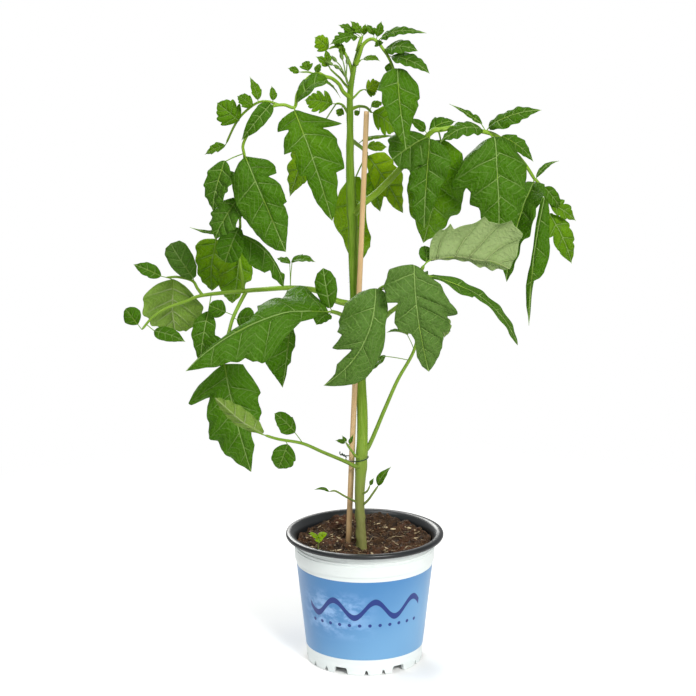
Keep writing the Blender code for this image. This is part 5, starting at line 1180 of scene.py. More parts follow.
@dataclass(frozen=True)
class BladeForm:
    """The lamina of one leaflet, as a closed thin shell.

    A section of the blade starts at the midrib and follows the lateral veins outwards.
    """

    leaflet: Leaflet
    foot: np.ndarray
    seed: float

    FINE_OVER_MM = 34.0
    FINE_COLUMNS, COARSE_COLUMNS = 12, 7
    THICKNESS, MARGIN_THICKNESS, LEAST_HALF = 0.26, 0.14, 0.12
    RIB_ABOVE, RIB_BELOW = 0.16, 0.26
    CURL, CURL_SPREAD = -26.0, 14.0
    SWELL, FINE_RUFFLE, COARSE_RUFFLE = 0.045, 0.045, 0.025
    CRUMPLE_MM, SLOW_CRUMPLE = 0.3, 0.04
    FINE_STEPS = (0, .04, .09, .15, .21, .28, .33, .4, .48, .57, .66, .75, .83, .9, .96)
    COARSE_STEPS = (0, .08, .17, .28, .4, .54, .7, .86)
    FIRST_VEIN = 0.15
    SINUS = 0.28
    CORNER_STEP = 0.014
    YOUNG_BELOW, LONG_OVER_MM = -0.15, 44.0
    ROUNDING = (.07, .13, .18, .24, .18, .13, .07)

    @property
    def fine(self) -> bool:
        """Whether the blade is long enough for more rows and columns."""
        return self.leaflet.length > self.FINE_OVER_MM

    def dip(self, passed: np.ndarray) -> np.ndarray:
        """Depth between vein ends: 0 at each whole number, 1 at the sinus just after it."""
        f = passed - np.floor(passed)
        return np.where(f < self.SINUS, f / self.SINUS, (1 - f) / (1 - self.SINUS))

    def vein_angle(self, u: np.ndarray) -> np.ndarray:
        """Angle between the midrib and its lateral veins, which closes towards the tip."""
        return np.radians(36 + 40 * (1 - u) ** 1.3)

    def corners(self, points: tuple) -> tuple[np.ndarray, np.ndarray]:
        """Find the place where the vein to each corner of a margin leaves the midrib.

        Args:
            points: the corners, each how far along and how far out.

        Returns:
            The places, and the corners with one more at the foot.
        """
        held = np.array(points)
        u = np.zeros(len(held))
        for _ in range(20):
            u = np.clip(0.5 * u + 0.5 * (held[:, 0] - held[:, 1] / np.tan(self.vein_angle(u))), 0, 1)
        room = self.CORNER_STEP * np.arange(1, len(u) + 1)
        u = np.maximum.accumulate(u - room) + room
        u = np.minimum(u, 1 - room[::-1] + self.CORNER_STEP)
        return np.concatenate([[0], u]), np.vstack([[0, 0.01], held])

    def places(self) -> np.ndarray:
        """Choose the places of the sections along the midrib.

        Returns:
            Places from 0 to 1, close together near each lateral vein and each corner.
        """
        leaf = self.leaflet
        steps = self.FINE_STEPS if self.fine else self.COARSE_STEPS
        u = (np.add.outer(np.arange(leaf.veins + 1), steps).ravel() - self.FIRST_VEIN) / leaf.veins
        for points in (leaf.left, leaf.right):
            if points:
                where = self.corners(points)[0]
                u = np.concatenate([u, where, where + 0.005, where - 0.005])
        u = np.sort(u[(u > 0.012) & (u < 0.988)])
        u = u[np.concatenate([[True], np.diff(u) > 0.0035])]
        return np.concatenate([[0, 0.006], u, [0.994, 1]])

    def egg(self, u: np.ndarray, hand: int) -> tuple[np.ndarray, np.ndarray, np.ndarray]:
        """The margin of a leaflet without corners: an egg shape u^0.5 (1-u)^p, cut back
        between the vein ends by uneven lobes, which are deepest near the foot. Young
        leaflets, the pale ones, are more pointed and more deeply cut.

        Args:
            u: places on the midrib.
            hand: -1 for the left half, 1 for the right.

        Returns:
            How far along and how far out the margin is, and how many veins u has passed.
        """
        leaf = self.leaflet
        young = leaf.tone < self.YOUNG_BELOW
        power = 1.4 if young and not self.fine else 1.15
        peak = 0.5 / (0.5 + power)
        shape = u ** 0.5 * (1 - u) ** power / (peak ** 0.5 * (1 - peak) ** power)
        passed = u * leaf.veins + self.FIRST_VEIN
        cut_share = 0.75 if leaf.length > self.LONG_OVER_MM else 0.95 if young else 0.3
        depth = leaf.lobes * np.clip(1.75 - 2.1 * u, 0.12, 1.5) * cut_share
        depth = depth * (1 + 0.4 * np.sin(2.4 * np.floor(passed) + 1.9 * hand + 5 * self.seed))
        uneven = 1 + 0.06 * hand * np.sin(4.3 * u + 7 * self.seed)
        uneven = uneven + 0.04 * np.sin(9 * u + 3 * hand + 5 * self.seed)
        cut = 1 - np.clip(depth, 0, 0.8) * self.dip(passed) ** 1.6
        half = 0.5 * leaf.width / leaf.length * shape * cut * uneven / math.sin(math.radians(56))
        return u + half * np.cos(self.vein_angle(u)), half * np.sin(self.vein_angle(u)), passed

    def edge(self, u: np.ndarray, hand: int) -> tuple[np.ndarray, np.ndarray, np.ndarray]:
        """One side's margin, with its corners a little rounded and each lobe's tip on a vein.

        Args:
            u: places on the midrib.
            hand: -1 for the left half, 1 for the right.

        Returns:
            How far along and how far out the margin is, and how many veins u has passed.
        """
        leaf = self.leaflet
        points = leaf.left if hand < 0 else leaf.right
        if not points:
            return self.egg(u, hand)
        where, held = self.corners(points)
        dense = np.linspace(-0.02, 1.02, 521)
        around = len(self.ROUNDING) // 2
        lines = [np.pad(np.interp(dense, where, held[:, k]), around, "edge") for k in (0, 1)]
        along, out = (np.interp(u, dense, np.convolve(line, self.ROUNDING, "valid")) for line in lines)
        inner = held[1:-1, 1]
        tips = where[1:-1][(inner > held[:-2, 1]) & (inner >= held[2:, 1])]
        count = [self.FIRST_VEIN, max(1, round(self.FIRST_VEIN + tips[0] * leaf.veins))]
        for gap in np.diff(tips):
            count.append(count[-1] + max(1, round(gap * leaf.veins)))
        count.append(count[-1] + max(0.6, (1 - tips[-1]) * leaf.veins))
        return along, out, np.interp(u, [0, *tips, 1], count)

    def midrib(self) -> tuple[np.ndarray, np.ndarray, np.ndarray, np.ndarray, np.ndarray]:
        """The midrib runs straight along reach, plus 4u(1-u) of the bow towards the face
        and of the sway to the left. The side direction turns about it by twist times u.

        Returns:
            Places from 0 to 1, and there the points, tangents, sideways and upward directions.
        """
        leaf = self.leaflet
        u = self.places()
        ahead = np.asarray(leaf.reach, float) / leaf.length
        face = unit(np.asarray(leaf.face, float) - ahead * np.dot(ahead, leaf.face))
        arch = leaf.length * (leaf.bow * face + leaf.sway * np.cross(ahead, face))
        points = self.foot + u[:, None] * leaf.reach + (4 * u * (1 - u))[:, None] * arch
        tangents = unit(np.gradient(points, u, axis=0))
        side = unit(np.cross(tangents, face))
        rise = np.cross(side, tangents)
        turn = np.radians(leaf.twist) * u[:, None]
        return (u, points, tangents, np.cos(turn) * side + np.sin(turn) * rise,
                np.cos(turn) * rise - np.sin(turn) * side)

    def add_to(self, fabric: Fabric) -> tuple[np.ndarray, np.ndarray, np.ndarray]:
        """Work out both faces of the blade and add them as one closed shell.

        Each half leaves the midrib at the fold's angle and bends down towards its margin.
        Between the veins the lamina swells up, at a vein it sinks, the margin waves once
        for each lobe, and slow crossed waves crumple the whole.

        Args:
            fabric: the mesh that takes the blade.

        Returns:
            The midrib's places, points and upward directions.
        """
        leaf, length = self.leaflet, self.leaflet.length
        places, points, tangents, side, rise = self.midrib()
        columns = self.FINE_COLUMNS if self.fine else self.COARSE_COLUMNS
        t = np.linspace(-1, 1, 2 * columns + 1)
        v = np.sin(t * math.pi / 2) * 0.55 + t * 0.45
        out = np.abs(v)
        hand = np.where(v < 0, -1.0, 1.0)
        u = places[:, None]
        left, right = (np.stack(self.edge(places, way)) for way in (-1, 1))
        margin_along, margin_out, passed = np.where(hand < 0, left[:, :, None], right[:, :, None])
        teeth = 1 - (0.006 + 0.05 * leaf.lobes) * self.dip(2 * passed + 0.35 * hand + self.seed) ** 1.3
        half = np.maximum(margin_out * length * teeth, self.LEAST_HALF)
        curl = math.radians(self.CURL + self.CURL_SPREAD * math.sin(11 * self.seed))
        slope = np.radians(leaf.fold) + curl * out / 2
        sideways = half * hand * out * np.cos(slope)
        forward = (margin_along - u) * length * out * np.cos(slope)
        along = u * length + forward
        f = passed - np.floor(passed)
        body = np.clip(half / max(0.35 * leaf.width, 1), 0, 1)
        swell = self.SWELL * (4 * f * (1 - f)) ** 0.8 * np.sin(math.pi * out ** 0.8) ** 0.8
        swing = np.sin(FULL_TURN * passed + 1.3 * hand + 9 * self.seed)
        wave = (self.FINE_RUFFLE if self.fine else self.COARSE_RUFFLE) * swing * out ** 2.5
        slow = self.SLOW_CRUMPLE * hash_waves(along * 0.11, sideways * 0.11, self.seed + 3)
        crumple = self.CRUMPLE_MM * hash_waves(along * 0.35, sideways * 0.35, self.seed)
        lift = half * out * np.sin(slope) + body * (leaf.width * (swell + wave + slow) + crumple)
        middle = points[:, None]
        for share, way in ((sideways, side), (forward, tangents), (lift, rise)):
            middle = middle + share[..., None] * way[:, None]
        normal = unit(np.cross(np.gradient(middle, axis=1), np.gradient(middle, axis=0)))
        normal[:2], normal[-2:] = normal[2], normal[-3]
        spacing = length / leaf.veins
        off = np.abs((passed + 0.5) % 1 - 0.5) * spacing
        rib = np.exp(-(off / (0.2 + 0.25 * (1 - out))) ** 2) * (1 - out) ** 0.5 * body
        thick = self.MARGIN_THICKNESS + (self.THICKNESS - self.MARGIN_THICKNESS) * (1 - out ** 4)
        upper = middle + normal * (thick / 2 - self.RIB_ABOVE * rib)[..., None]
        lower = middle - normal * (thick / 2 + self.RIB_BELOW * rib)[..., None]
        maps = (np.stack(np.broadcast_arrays(passed, v[None]), -1), np.stack([sideways, along], -1) * MM)
        fabric.add(np.concatenate([upper, lower[:, ::-1]], axis=1),
                   tuple(np.concatenate([uv, uv[:, ::-1], uv[:, :1]], axis=1) for uv in maps),
                   np.arange(2 * len(v)) >= len(v) - 1,
                   leaf.tone + 0.16 * math.sin(17 * self.seed), spacing * MM)
        return places, points, rise


@dataclass(frozen=True)
class CompoundLeafMaker:
    """Builds compound leaves: petiole, rachis, leaflets on their own stalks, and blades."""

    finishes: Finishes

    STALK_SLOT = 2
    STALK_SIDES, RIB_SIDES = 12, 8
    STALK_STEP = 1.6
    RIB_ROWS, LEAD_ROWS = 22, 7
    FOOT_SWELL, FOOT_MM = 0.55, 3.5
    END_TAPER, END_MM = 0.5, 2.5

    def add_leaflet(self, fabric: Fabric, start: np.ndarray, leaf: Leaflet, seed: float) -> None:
        """Add one leaflet: its blade, and a stalk that runs on under it as the midrib.

        Args:
            fabric: the mesh of the whole leaf.
            start: the leaflet's place on the rachis.
            leaf: its plan.
            seed: a number that makes its crumpling its own.
        """
        foot = start + np.asarray(leaf.stalk, float)
        places, points, rise = BladeForm(leaf, foot, seed).add_to(fabric)
        thick = 0.22 + 0.0036 * leaf.length + 0.001 * leaf.width
        picks = np.linspace(0.02, 0.93, self.RIB_ROWS)
        radii = thick * (1 - 0.78 * np.linspace(0, 1, self.RIB_ROWS) ** 0.8)
        rib = read_rows(picks, places, points) - read_rows(picks, places, rise) * (radii * 0.9)[:, None]
        lead = start[None]
        if np.linalg.norm(foot - start) > 1.0:
            lead = smooth_line((start, start * 0.45 + foot * 0.55, rib[0]), self.LEAD_ROWS)[:-1]
        radii = np.concatenate([np.full(len(lead), thick * 1.08), radii])
        fabric.tube(np.vstack([lead, rib]), radii, self.RIB_SIDES, self.STALK_SLOT, leaf.tone)

    def make(self, plan: LeafPlan) -> None:
        """Build one compound leaf as a single piece that stands for its CAD node.

        Each stalk gets thinner at its very end, and the first is swollen at the stem.

        Args:
            plan: the leaf's stalks and leaflets.
        """
        fabric = Fabric()
        seed = sum(ord(letter) for letter in plan.node) * 0.173
        for order, stalk in enumerate(plan.stalks):
            span = float(np.linalg.norm(np.diff(np.asarray(stalk.line, float), axis=0), axis=1).sum())
            count = max(8, round(span / self.STALK_STEP))
            line = smooth_line(stalk.line, count)
            places = np.linspace(0, span, count)
            radii = np.interp(places, np.linspace(0, span, len(stalk.radii)), stalk.radii)
            if order == 0:
                radii = radii * (1 + self.FOOT_SWELL * np.exp(-places / self.FOOT_MM))
            end = np.clip((places - span) / self.END_MM + 1, 0, 1)
            radii = radii * (1 - self.END_TAPER * end ** 2)
            fabric.tube(line, radii, self.STALK_SIDES, self.STALK_SLOT, ridges=(3, 0.07))
            for number, leaf in enumerate(stalk.leaflets):
                start = read_rows([leaf.at * span], places, line)[0]
                own = seed + 0.731 * number + 1.37 * order
                self.add_leaflet(fabric, start, leaf, own % 6.283)
        done = self.finishes
        fabric.build(f"{plan.node}_blades", [done.upper, done.lower, done.stalk], plan.node)


# ---------------------------------------------------------------- stem, stake and flowers

@dataclass(frozen=True)
class StemMaker:
    """The main stem with its ridges, swollen nodes, root bumps and hairs."""

    finishes: Finishes

    SIDES, ROWS = 30, 260
    NODE_SWELL, NODE_MM = 0.11, 4.5
    BUMPS, BUMPS_FROM, BUMPS_OVER = 70, 88.0, 32.0
    ROUGH_TOP, ROUGH_OVER = 112.0, 22.0
    HAIRS, HAIR_RADIUS, FIRST_HAIR_ROW = 2600, 0.045, 30

    def relief(self, turn: np.ndarray, z: np.ndarray, radius: np.ndarray) -> np.ndarray:
        """Height of the skin over the plain tube, in millimetres.

        Three low ridges wind slowly up the stem, every node swells by a bell curve, and
        under 120 mm small root bumps of the same bell shape stand out all round.

        Args:
            turn: the turn of each column, in radians.
            z: the height of each row, one in each line.
            radius: the stem's radius there, one in each line.

        Returns:
            Relief for each row and column.
        """
        relief = 0.05 * radius * np.cos(3 * turn + 0.012 * z)
        relief = relief + 0.04 * radius * np.cos(2 * turn - 0.02 * z + 1)
        for node in STEM_NODES:
            relief = relief + self.NODE_SWELL * radius * np.exp(-((z - node) / self.NODE_MM) ** 2)
        for side, low, size, _ in random_places(self.BUMPS, 11):
            reach = 0.7 + 0.6 * size
            off = np.angle(np.exp(1j * (turn - side * FULL_TURN))) * 3.6 / reach
            above = (z - self.BUMPS_FROM - self.BUMPS_OVER * low ** 1.4) / (1.5 * reach)
            relief = relief + (0.25 + 0.4 * size) * np.exp(-(off ** 2 + above ** 2))
        low = np.clip((self.ROUGH_TOP - z) / self.ROUGH_OVER, 0, 1)
        rough = hash_waves(9 * np.cos(turn), z * 0.9, 3.0) + hash_waves(9 * np.sin(turn), z * 1.7, 5.0)
        return relief + 0.22 * low * rough + 0.03 * hash_waves(6 * turn, z * 0.2, 2.0)

    def make(self) -> None:
        """Build the stem, and the hairs that stand out from it over the root bumps."""
        fabric = Fabric()
        line = smooth_line(STEM_LINE, self.ROWS)
        radius = np.interp(line[:, 2], [z for _, _, z in STEM_LINE], STEM_RADII)[:, None]
        turn = circle(self.SIDES)
        fabric.add(swept(line, turn, radius + self.relief(turn, line[:, 2:], radius)))
        across, upward = carried_frames(line)
        for along, side, lean, size in random_places(self.HAIRS, 21):
            k = int(self.FIRST_HAIR_ROW + along ** 0.8 * (self.ROWS - self.FIRST_HAIR_ROW - 4))
            out = spoke(side * FULL_TURN, across[k], upward[k])
            tip = line[k] + out * (radius[k] + 0.5 + 0.9 * size) + np.array((0, 0, 0.5 - lean))
            fabric.spike(line[k] + out * (radius[k] - 0.15), tip, self.HAIR_RADIUS)
        fabric.build("stem_skin", [self.finishes.stem], "stem")


@dataclass(frozen=True)
class StakeMaker:
    """The split cane beside the stem, from below the soil to its cut top."""

    finishes: Finishes

    FOOT, TOP = np.array((-15.1, 10.7, 20.0)), np.array((1.0, -12.0, 424.0))
    SIDES, ROWS = 28, 150
    TAPER = ((20, 32, 89, 424), (0.8, 2.25, 2.2, 1.9))

    def make(self) -> None:
        """Build the cane: a rounded square section that tapers, with long low ribs.

        The section is a superellipse of power three. A slow sway of a tenth of a
        millimetre keeps it from being ruler straight, and the top is cut at a slant.
        """
        share = np.linspace(0, 1, self.ROWS)[:, None]
        sway = 0.12 * np.hstack([np.sin(9 * share + 1), np.sin(7 * share), 0 * share])
        line = self.FOOT + share * (self.TOP - self.FOOT) + sway
        z = line[:, 2:]
        turn = circle(self.SIDES)
        square = (np.abs(np.cos(turn)) ** 3 + np.abs(np.sin(turn)) ** 3) ** (-1 / 3)
        ribs = 0.05 * hash_waves(5 * np.cos(turn) + 0 * share, 5 * np.sin(turn) + 2.4 * share, 4.0)
        dents = 0.05 * hash_waves(2 * turn, z * 0.06, 6.0)
        reach = np.interp(z, *self.TAPER) * 0.931 * square + ribs + dents
        rings = swept(line, turn, reach * np.interp(z, (422.8, 424.0), (1.0, 0.93)))
        rings[..., 2] += 0.25 * np.sin(turn) * np.clip((z - 415) / 9, 0, 1)
        fabric = Fabric()
        fabric.add(rings)
        fabric.build("cane", [self.finishes.cane], "stake")


@dataclass(frozen=True)
class TieMaker:
    """The thin coated wire round stem and stake, twisted shut beside the stake."""

    finishes: Finishes

    CENTRE = np.array((-5.8, 0.4, 158.0))
    REACH = (9.4, 6.5)
    TURN = math.radians(-37.0)
    WIRE_RADIUS, WIRE_SIDES = 0.42, 8
    ROWS, LOOP_ROWS, TAIL_ROWS = 260, 90, 26
    TAIL_MM, TAIL_TWIST = 6.0, 9.0

    def loop_point(self, a: float) -> np.ndarray:
        """Work out a point of the loop, an ellipse that tilts a little.

        Args:
            a: its angle in radians.

        Returns:
            The point in millimetres.
        """
        x, y = self.REACH[0] * math.cos(a), self.REACH[1] * math.sin(a)
        return self.CENTRE + np.array((x * math.cos(self.TURN) - y * math.sin(self.TURN),
                                       x * math.sin(self.TURN) + y * math.cos(self.TURN),
                                       1.6 * math.sin(a + 0.6)))

    def make(self) -> None:
        """Build the loop and its two twisted tails."""
        loop = [self.loop_point(a) for a in np.linspace(math.pi * 1.07, math.pi * 2.93, self.LOOP_ROWS)]
        knot = (loop[0] + loop[-1]) / 2
        out = unit(knot - self.CENTRE + np.array((0, 0, 3.0)))
        first, second = carried_frames(np.array([knot, knot + out, knot + 2 * out]))
        tails = [[knot + out * (0.8 + self.TAIL_MM * t)
                  + (0.55 + 6.0 * max(t - 0.75, 0)) * spoke(phase + self.TAIL_TWIST * t, first[0], second[0])
                  for t in np.linspace(0, 1, self.TAIL_ROWS)] for phase in (0.0, math.pi)]
        fabric = Fabric()
        line = smooth_line(tails[0][::-1] + loop[2:-2] + tails[1], self.ROWS)
        fabric.tube(line, np.full(self.ROWS, self.WIRE_RADIUS), self.WIRE_SIDES)
        fabric.build("tie_wire", [self.finishes.wire], "wire_tie")


@dataclass(frozen=True)
class TrussMaker:
    """The young flower truss: a hairy peduncle, and closed buds in their sepals."""

    finishes: Finishes

    ROWS = 16
    SEPALS, HAIRS, HAIR_RADIUS = 5, 60, 0.04
    SEPAL_STANDS = ((3, 0.9), (8, 1.15), (12, 0.85))
    SEPAL_RADII = (.2, .34, .4, .4, .36, .3, .22, .15, .06)

    def add_bud(self, fabric: Fabric, fork: np.ndarray, bud: np.ndarray, seed: float) -> None:
        """Add a pedicel with its bud, five closed sepals and hairs on them.

        Args:
            fabric: the mesh of the truss.
            fork: the place where the pedicels part.
            bud: the bud's place.
            seed: a number that turns it its own way.
        """
        bend = (fork + bud) / 2 + (0, 0, 2.0)
        tail = unit(bud - bend)
        line = smooth_line((fork, bend, bud - tail * 1.4), self.ROWS)
        fabric.tube(line, np.linspace(0.55, 0.42, self.ROWS), 10)
        s = np.linspace(0, 1, self.ROWS)
        body = bud - tail * 1.6 + tail * 5.0 * s[:, None]
        fabric.tube(body, 0.3 + np.sin(math.pi * s ** 0.75) ** 0.8 * (1 - 0.35 * s), 14, ridges=(5, 0.1))
        first, second = (rows[0] for rows in carried_frames(body))
        for a in seed + circle(self.SEPALS):
            out = spoke(a, first, second)
            path = [body[row] + out * stand for row, stand in self.SEPAL_STANDS]
            path.append(body[-1] + out * 0.55 + tail * 0.9)
            fabric.tube(smooth_line(path, len(self.SEPAL_RADII)), self.SEPAL_RADII, 6)
        for turn, along, size, lean in random_places(self.HAIRS, int(seed * 100)):
            out = spoke(turn * FULL_TURN, first, second)
            root = body[int(along * 13)] + out * 0.7
            fabric.spike(root, root + out * (0.8 + 0.9 * size) + tail * (lean - 0.3), self.HAIR_RADIUS)

    def make(self) -> None:
        """Build the truss."""
        fabric = Fabric()
        fabric.tube(smooth_line(TRUSS_FOOT, 14), np.linspace(1.0, 0.8, 14), 12, ridges=(3, 0.06))
        fork = np.array(TRUSS_FOOT[-1]) - (0, 0, 0.5)
        for number, bud in enumerate(TRUSS_BUDS):
            self.add_bud(fabric, fork, np.array(bud, float), 0.7 + 1.1 * number)
        fabric.build("truss_buds", [self.finishes.bud], "flower_truss")


# ---------------------------------------------------------------- pot and soil

@dataclass(frozen=True)
class PotMaker:
    """The thin moulded pot: white with a printed band, black inside and on its lip.

    Each point of the profile is a radius, a height and the slot of the wall after it:
    0 white, 1 band, 2 black. A notch has its middle in degrees from the front, half its
    width in degrees, and its height.
    """

    finishes: Finishes

    COLUMNS = 360
    WALL_STEP = 2.5
    SHARP_DEGREES = 38.0
    BAND_LOW, BAND_HIGH = 12.2, 76.2
    PROFILE = (
        (44, 0, 0), (44.6, 7, 0), (44.3, 8.2, 0), (44.55, 9.2, 0), (44.6, 11, 0), (44.75, 12.2, 0),
        (44.9, 12.25, 1), (52, 76.15, 1), (51.9, 76.2, 0), (51.95, 79.4, 0), (52.1, 79.7, 0),
        (53.15, 80, 0), (53.3, 80.5, 0), (53.5, 88.6, 0), (53, 88.9, 0), (53, 89.5, 0),
        (53.5, 89.8, 0), (53.4, 90.9, 0), (52.7, 91.3, 0), (52.7, 95.4, 0), (53.3, 96.1, 0),
        (53.6, 96.3, 2), (58.6, 96.4, 2), (59.6, 96.7, 2), (60, 97.5, 2), (60, 98.6, 2),
        (59.6, 99.5, 2), (58.8, 99.95, 2), (56.6, 100, 2), (55.6, 99.75, 2), (54.4, 98.9, 2),
        (53, 97.2, 2), (51.95, 95.2, 2), (51.9, 92, 2), (51.9, 81.2, 2), (50.9, 77, 2),
        (43.3, 6.2, 2), (6.2, 6.2, 2), (6, 6.1, 2), (6, 5.1, 0), (6.2, 5, 0), (41.3, 5, 0),
        (41.4, 4.8, 0), (41.4, 0, 0),
    )
    NOTCHES = tuple((first + 60 * k, half, high) for k in range(6)
                    for first, half, high in ((-24.4, 6.6, 5.2), (1.8, 1.3, 3.6), (18.9, 1.3, 3.6)))
    NOTCH_RAMP = 1.4
    FOOT_TOP, FOOT_INSIDE = 5.5, 41.0
    TICKS = (-14, 8, 25, 52, 100, 140, 190, 230, 280, 315)
    TICK_LOW, TICK_HIGH, TICK_INSIDE = 90.0, 95.6, 52.5
    TICK_DEGREES, TICK_MM = 1.6, 0.35
    DRAINS, DRAIN_RADIUS, DRAINS_OUT, DRAINS_HIGH = 6, 0.004, 0.031, 0.0056

    def dense_profile(self) -> np.ndarray:
        """Put more points on the long walls of the profile.

        Returns:
            Radius, height and slot, one row for each point.
        """
        rows = []
        for start, end in zip(self.PROFILE, self.PROFILE[1:] + self.PROFILE[:1]):
            a, b = np.array(start, float), np.array(end, float)
            steps = max(1, math.ceil(np.linalg.norm((b - a)[:2]) / self.WALL_STEP))
            points = a + np.arange(steps)[:, None] / steps * (b - a)
            points[:, 2] = a[2]
            rows.append(points)
        return np.vstack(rows)

    def make(self) -> None:
        """Build the pot by turning the profile, then cut the drain holes.

        Within a notch the foot's lower edge rises to the notch's height, over a short
        ramp at each side. The turn of a column is counted from the front.
        """
        profile = self.dense_profile()
        r, z = profile[:, :1], profile[:, 1:2]
        around = np.linspace(0, 1, self.COLUMNS + 1)[None]
        turn = np.linspace(-180, 180, self.COLUMNS + 1)[:-1]
        a = np.radians(turn - 90)
        maps = tuple(np.stack(np.broadcast_arrays(*uv), -1) for uv in (
            (around, (z - self.BAND_LOW) / (self.BAND_HIGH - self.BAND_LOW)), (around * 0.3, z * MM)))
        notch = np.zeros(self.COLUMNS)
        for centre, half, high in self.NOTCHES:
            off = np.abs((turn - centre + 180) % 360 - 180)
            notch = np.maximum(notch, high * np.clip((half + 0.9 - off) / self.NOTCH_RAMP, 0, 1))
        raised = (z < self.FOOT_TOP) & (r > self.FOOT_INSIDE)
        z = np.where(raised, np.maximum(z, notch), z)
        shoulder = (z > self.TICK_LOW) & (z < self.TICK_HIGH) & (r > self.TICK_INSIDE)
        for centre in self.TICKS:
            off = np.abs((turn - centre + 180) % 360 - 180)
            r = r + np.where(shoulder, self.TICK_MM * np.clip(self.TICK_DEGREES - off, 0, 1), 0)
        uneven = 0.12 * np.sin(3 * a + 1) + 0.09 * np.sin(5 * a) * (z / 100)
        r = r + uneven * np.clip(r / 40, 0, 1) ** 4
        fabric = Fabric()
        rings = np.stack([r * np.cos(a), r * np.sin(a), z], -1)
        fabric.add(rings, maps, profile[:, 2:], closed=True)
        done = self.finishes
        piece = fabric.build("pot_shell", [done.white, done.band, done.black], "pot")
        piece.data.set_sharp_from_angle(angle=math.radians(self.SHARP_DEGREES))
        self.drill(piece)

    def drill(self, piece: bpy.types.Object) -> None:
        """Cut the drain holes through the floor and keep the result.

        Args:
            piece: the turned pot.
        """
        bm = bmesh.new()
        for a in circle(self.DRAINS):
            at = Matrix.Translation((POT_AXIS[0] + self.DRAINS_OUT * math.cos(a),
                                     POT_AXIS[1] + self.DRAINS_OUT * math.sin(a), self.DRAINS_HIGH))
            bmesh.ops.create_cone(bm, cap_ends=True, segments=32, radius1=self.DRAIN_RADIUS,
                                  radius2=self.DRAIN_RADIUS, depth=0.004, matrix=at)
        mesh = bpy.data.meshes.new("drains")
        bm.to_mesh(mesh)
        bm.free()
        cutter = link("drains", mesh)
        cut = piece.modifiers.new("drains", "BOOLEAN")
        cut.operation, cut.solver, cut.object = "DIFFERENCE", "EXACT", cutter
        bpy.context.view_layer.update()
        drilled = piece.evaluated_get(bpy.context.evaluated_depsgraph_get())
        result = bpy.data.meshes.new_from_object(drilled)
        piece.modifiers.remove(cut)
        piece.data = result
        bpy.data.objects.remove(cutter, do_unlink=True)


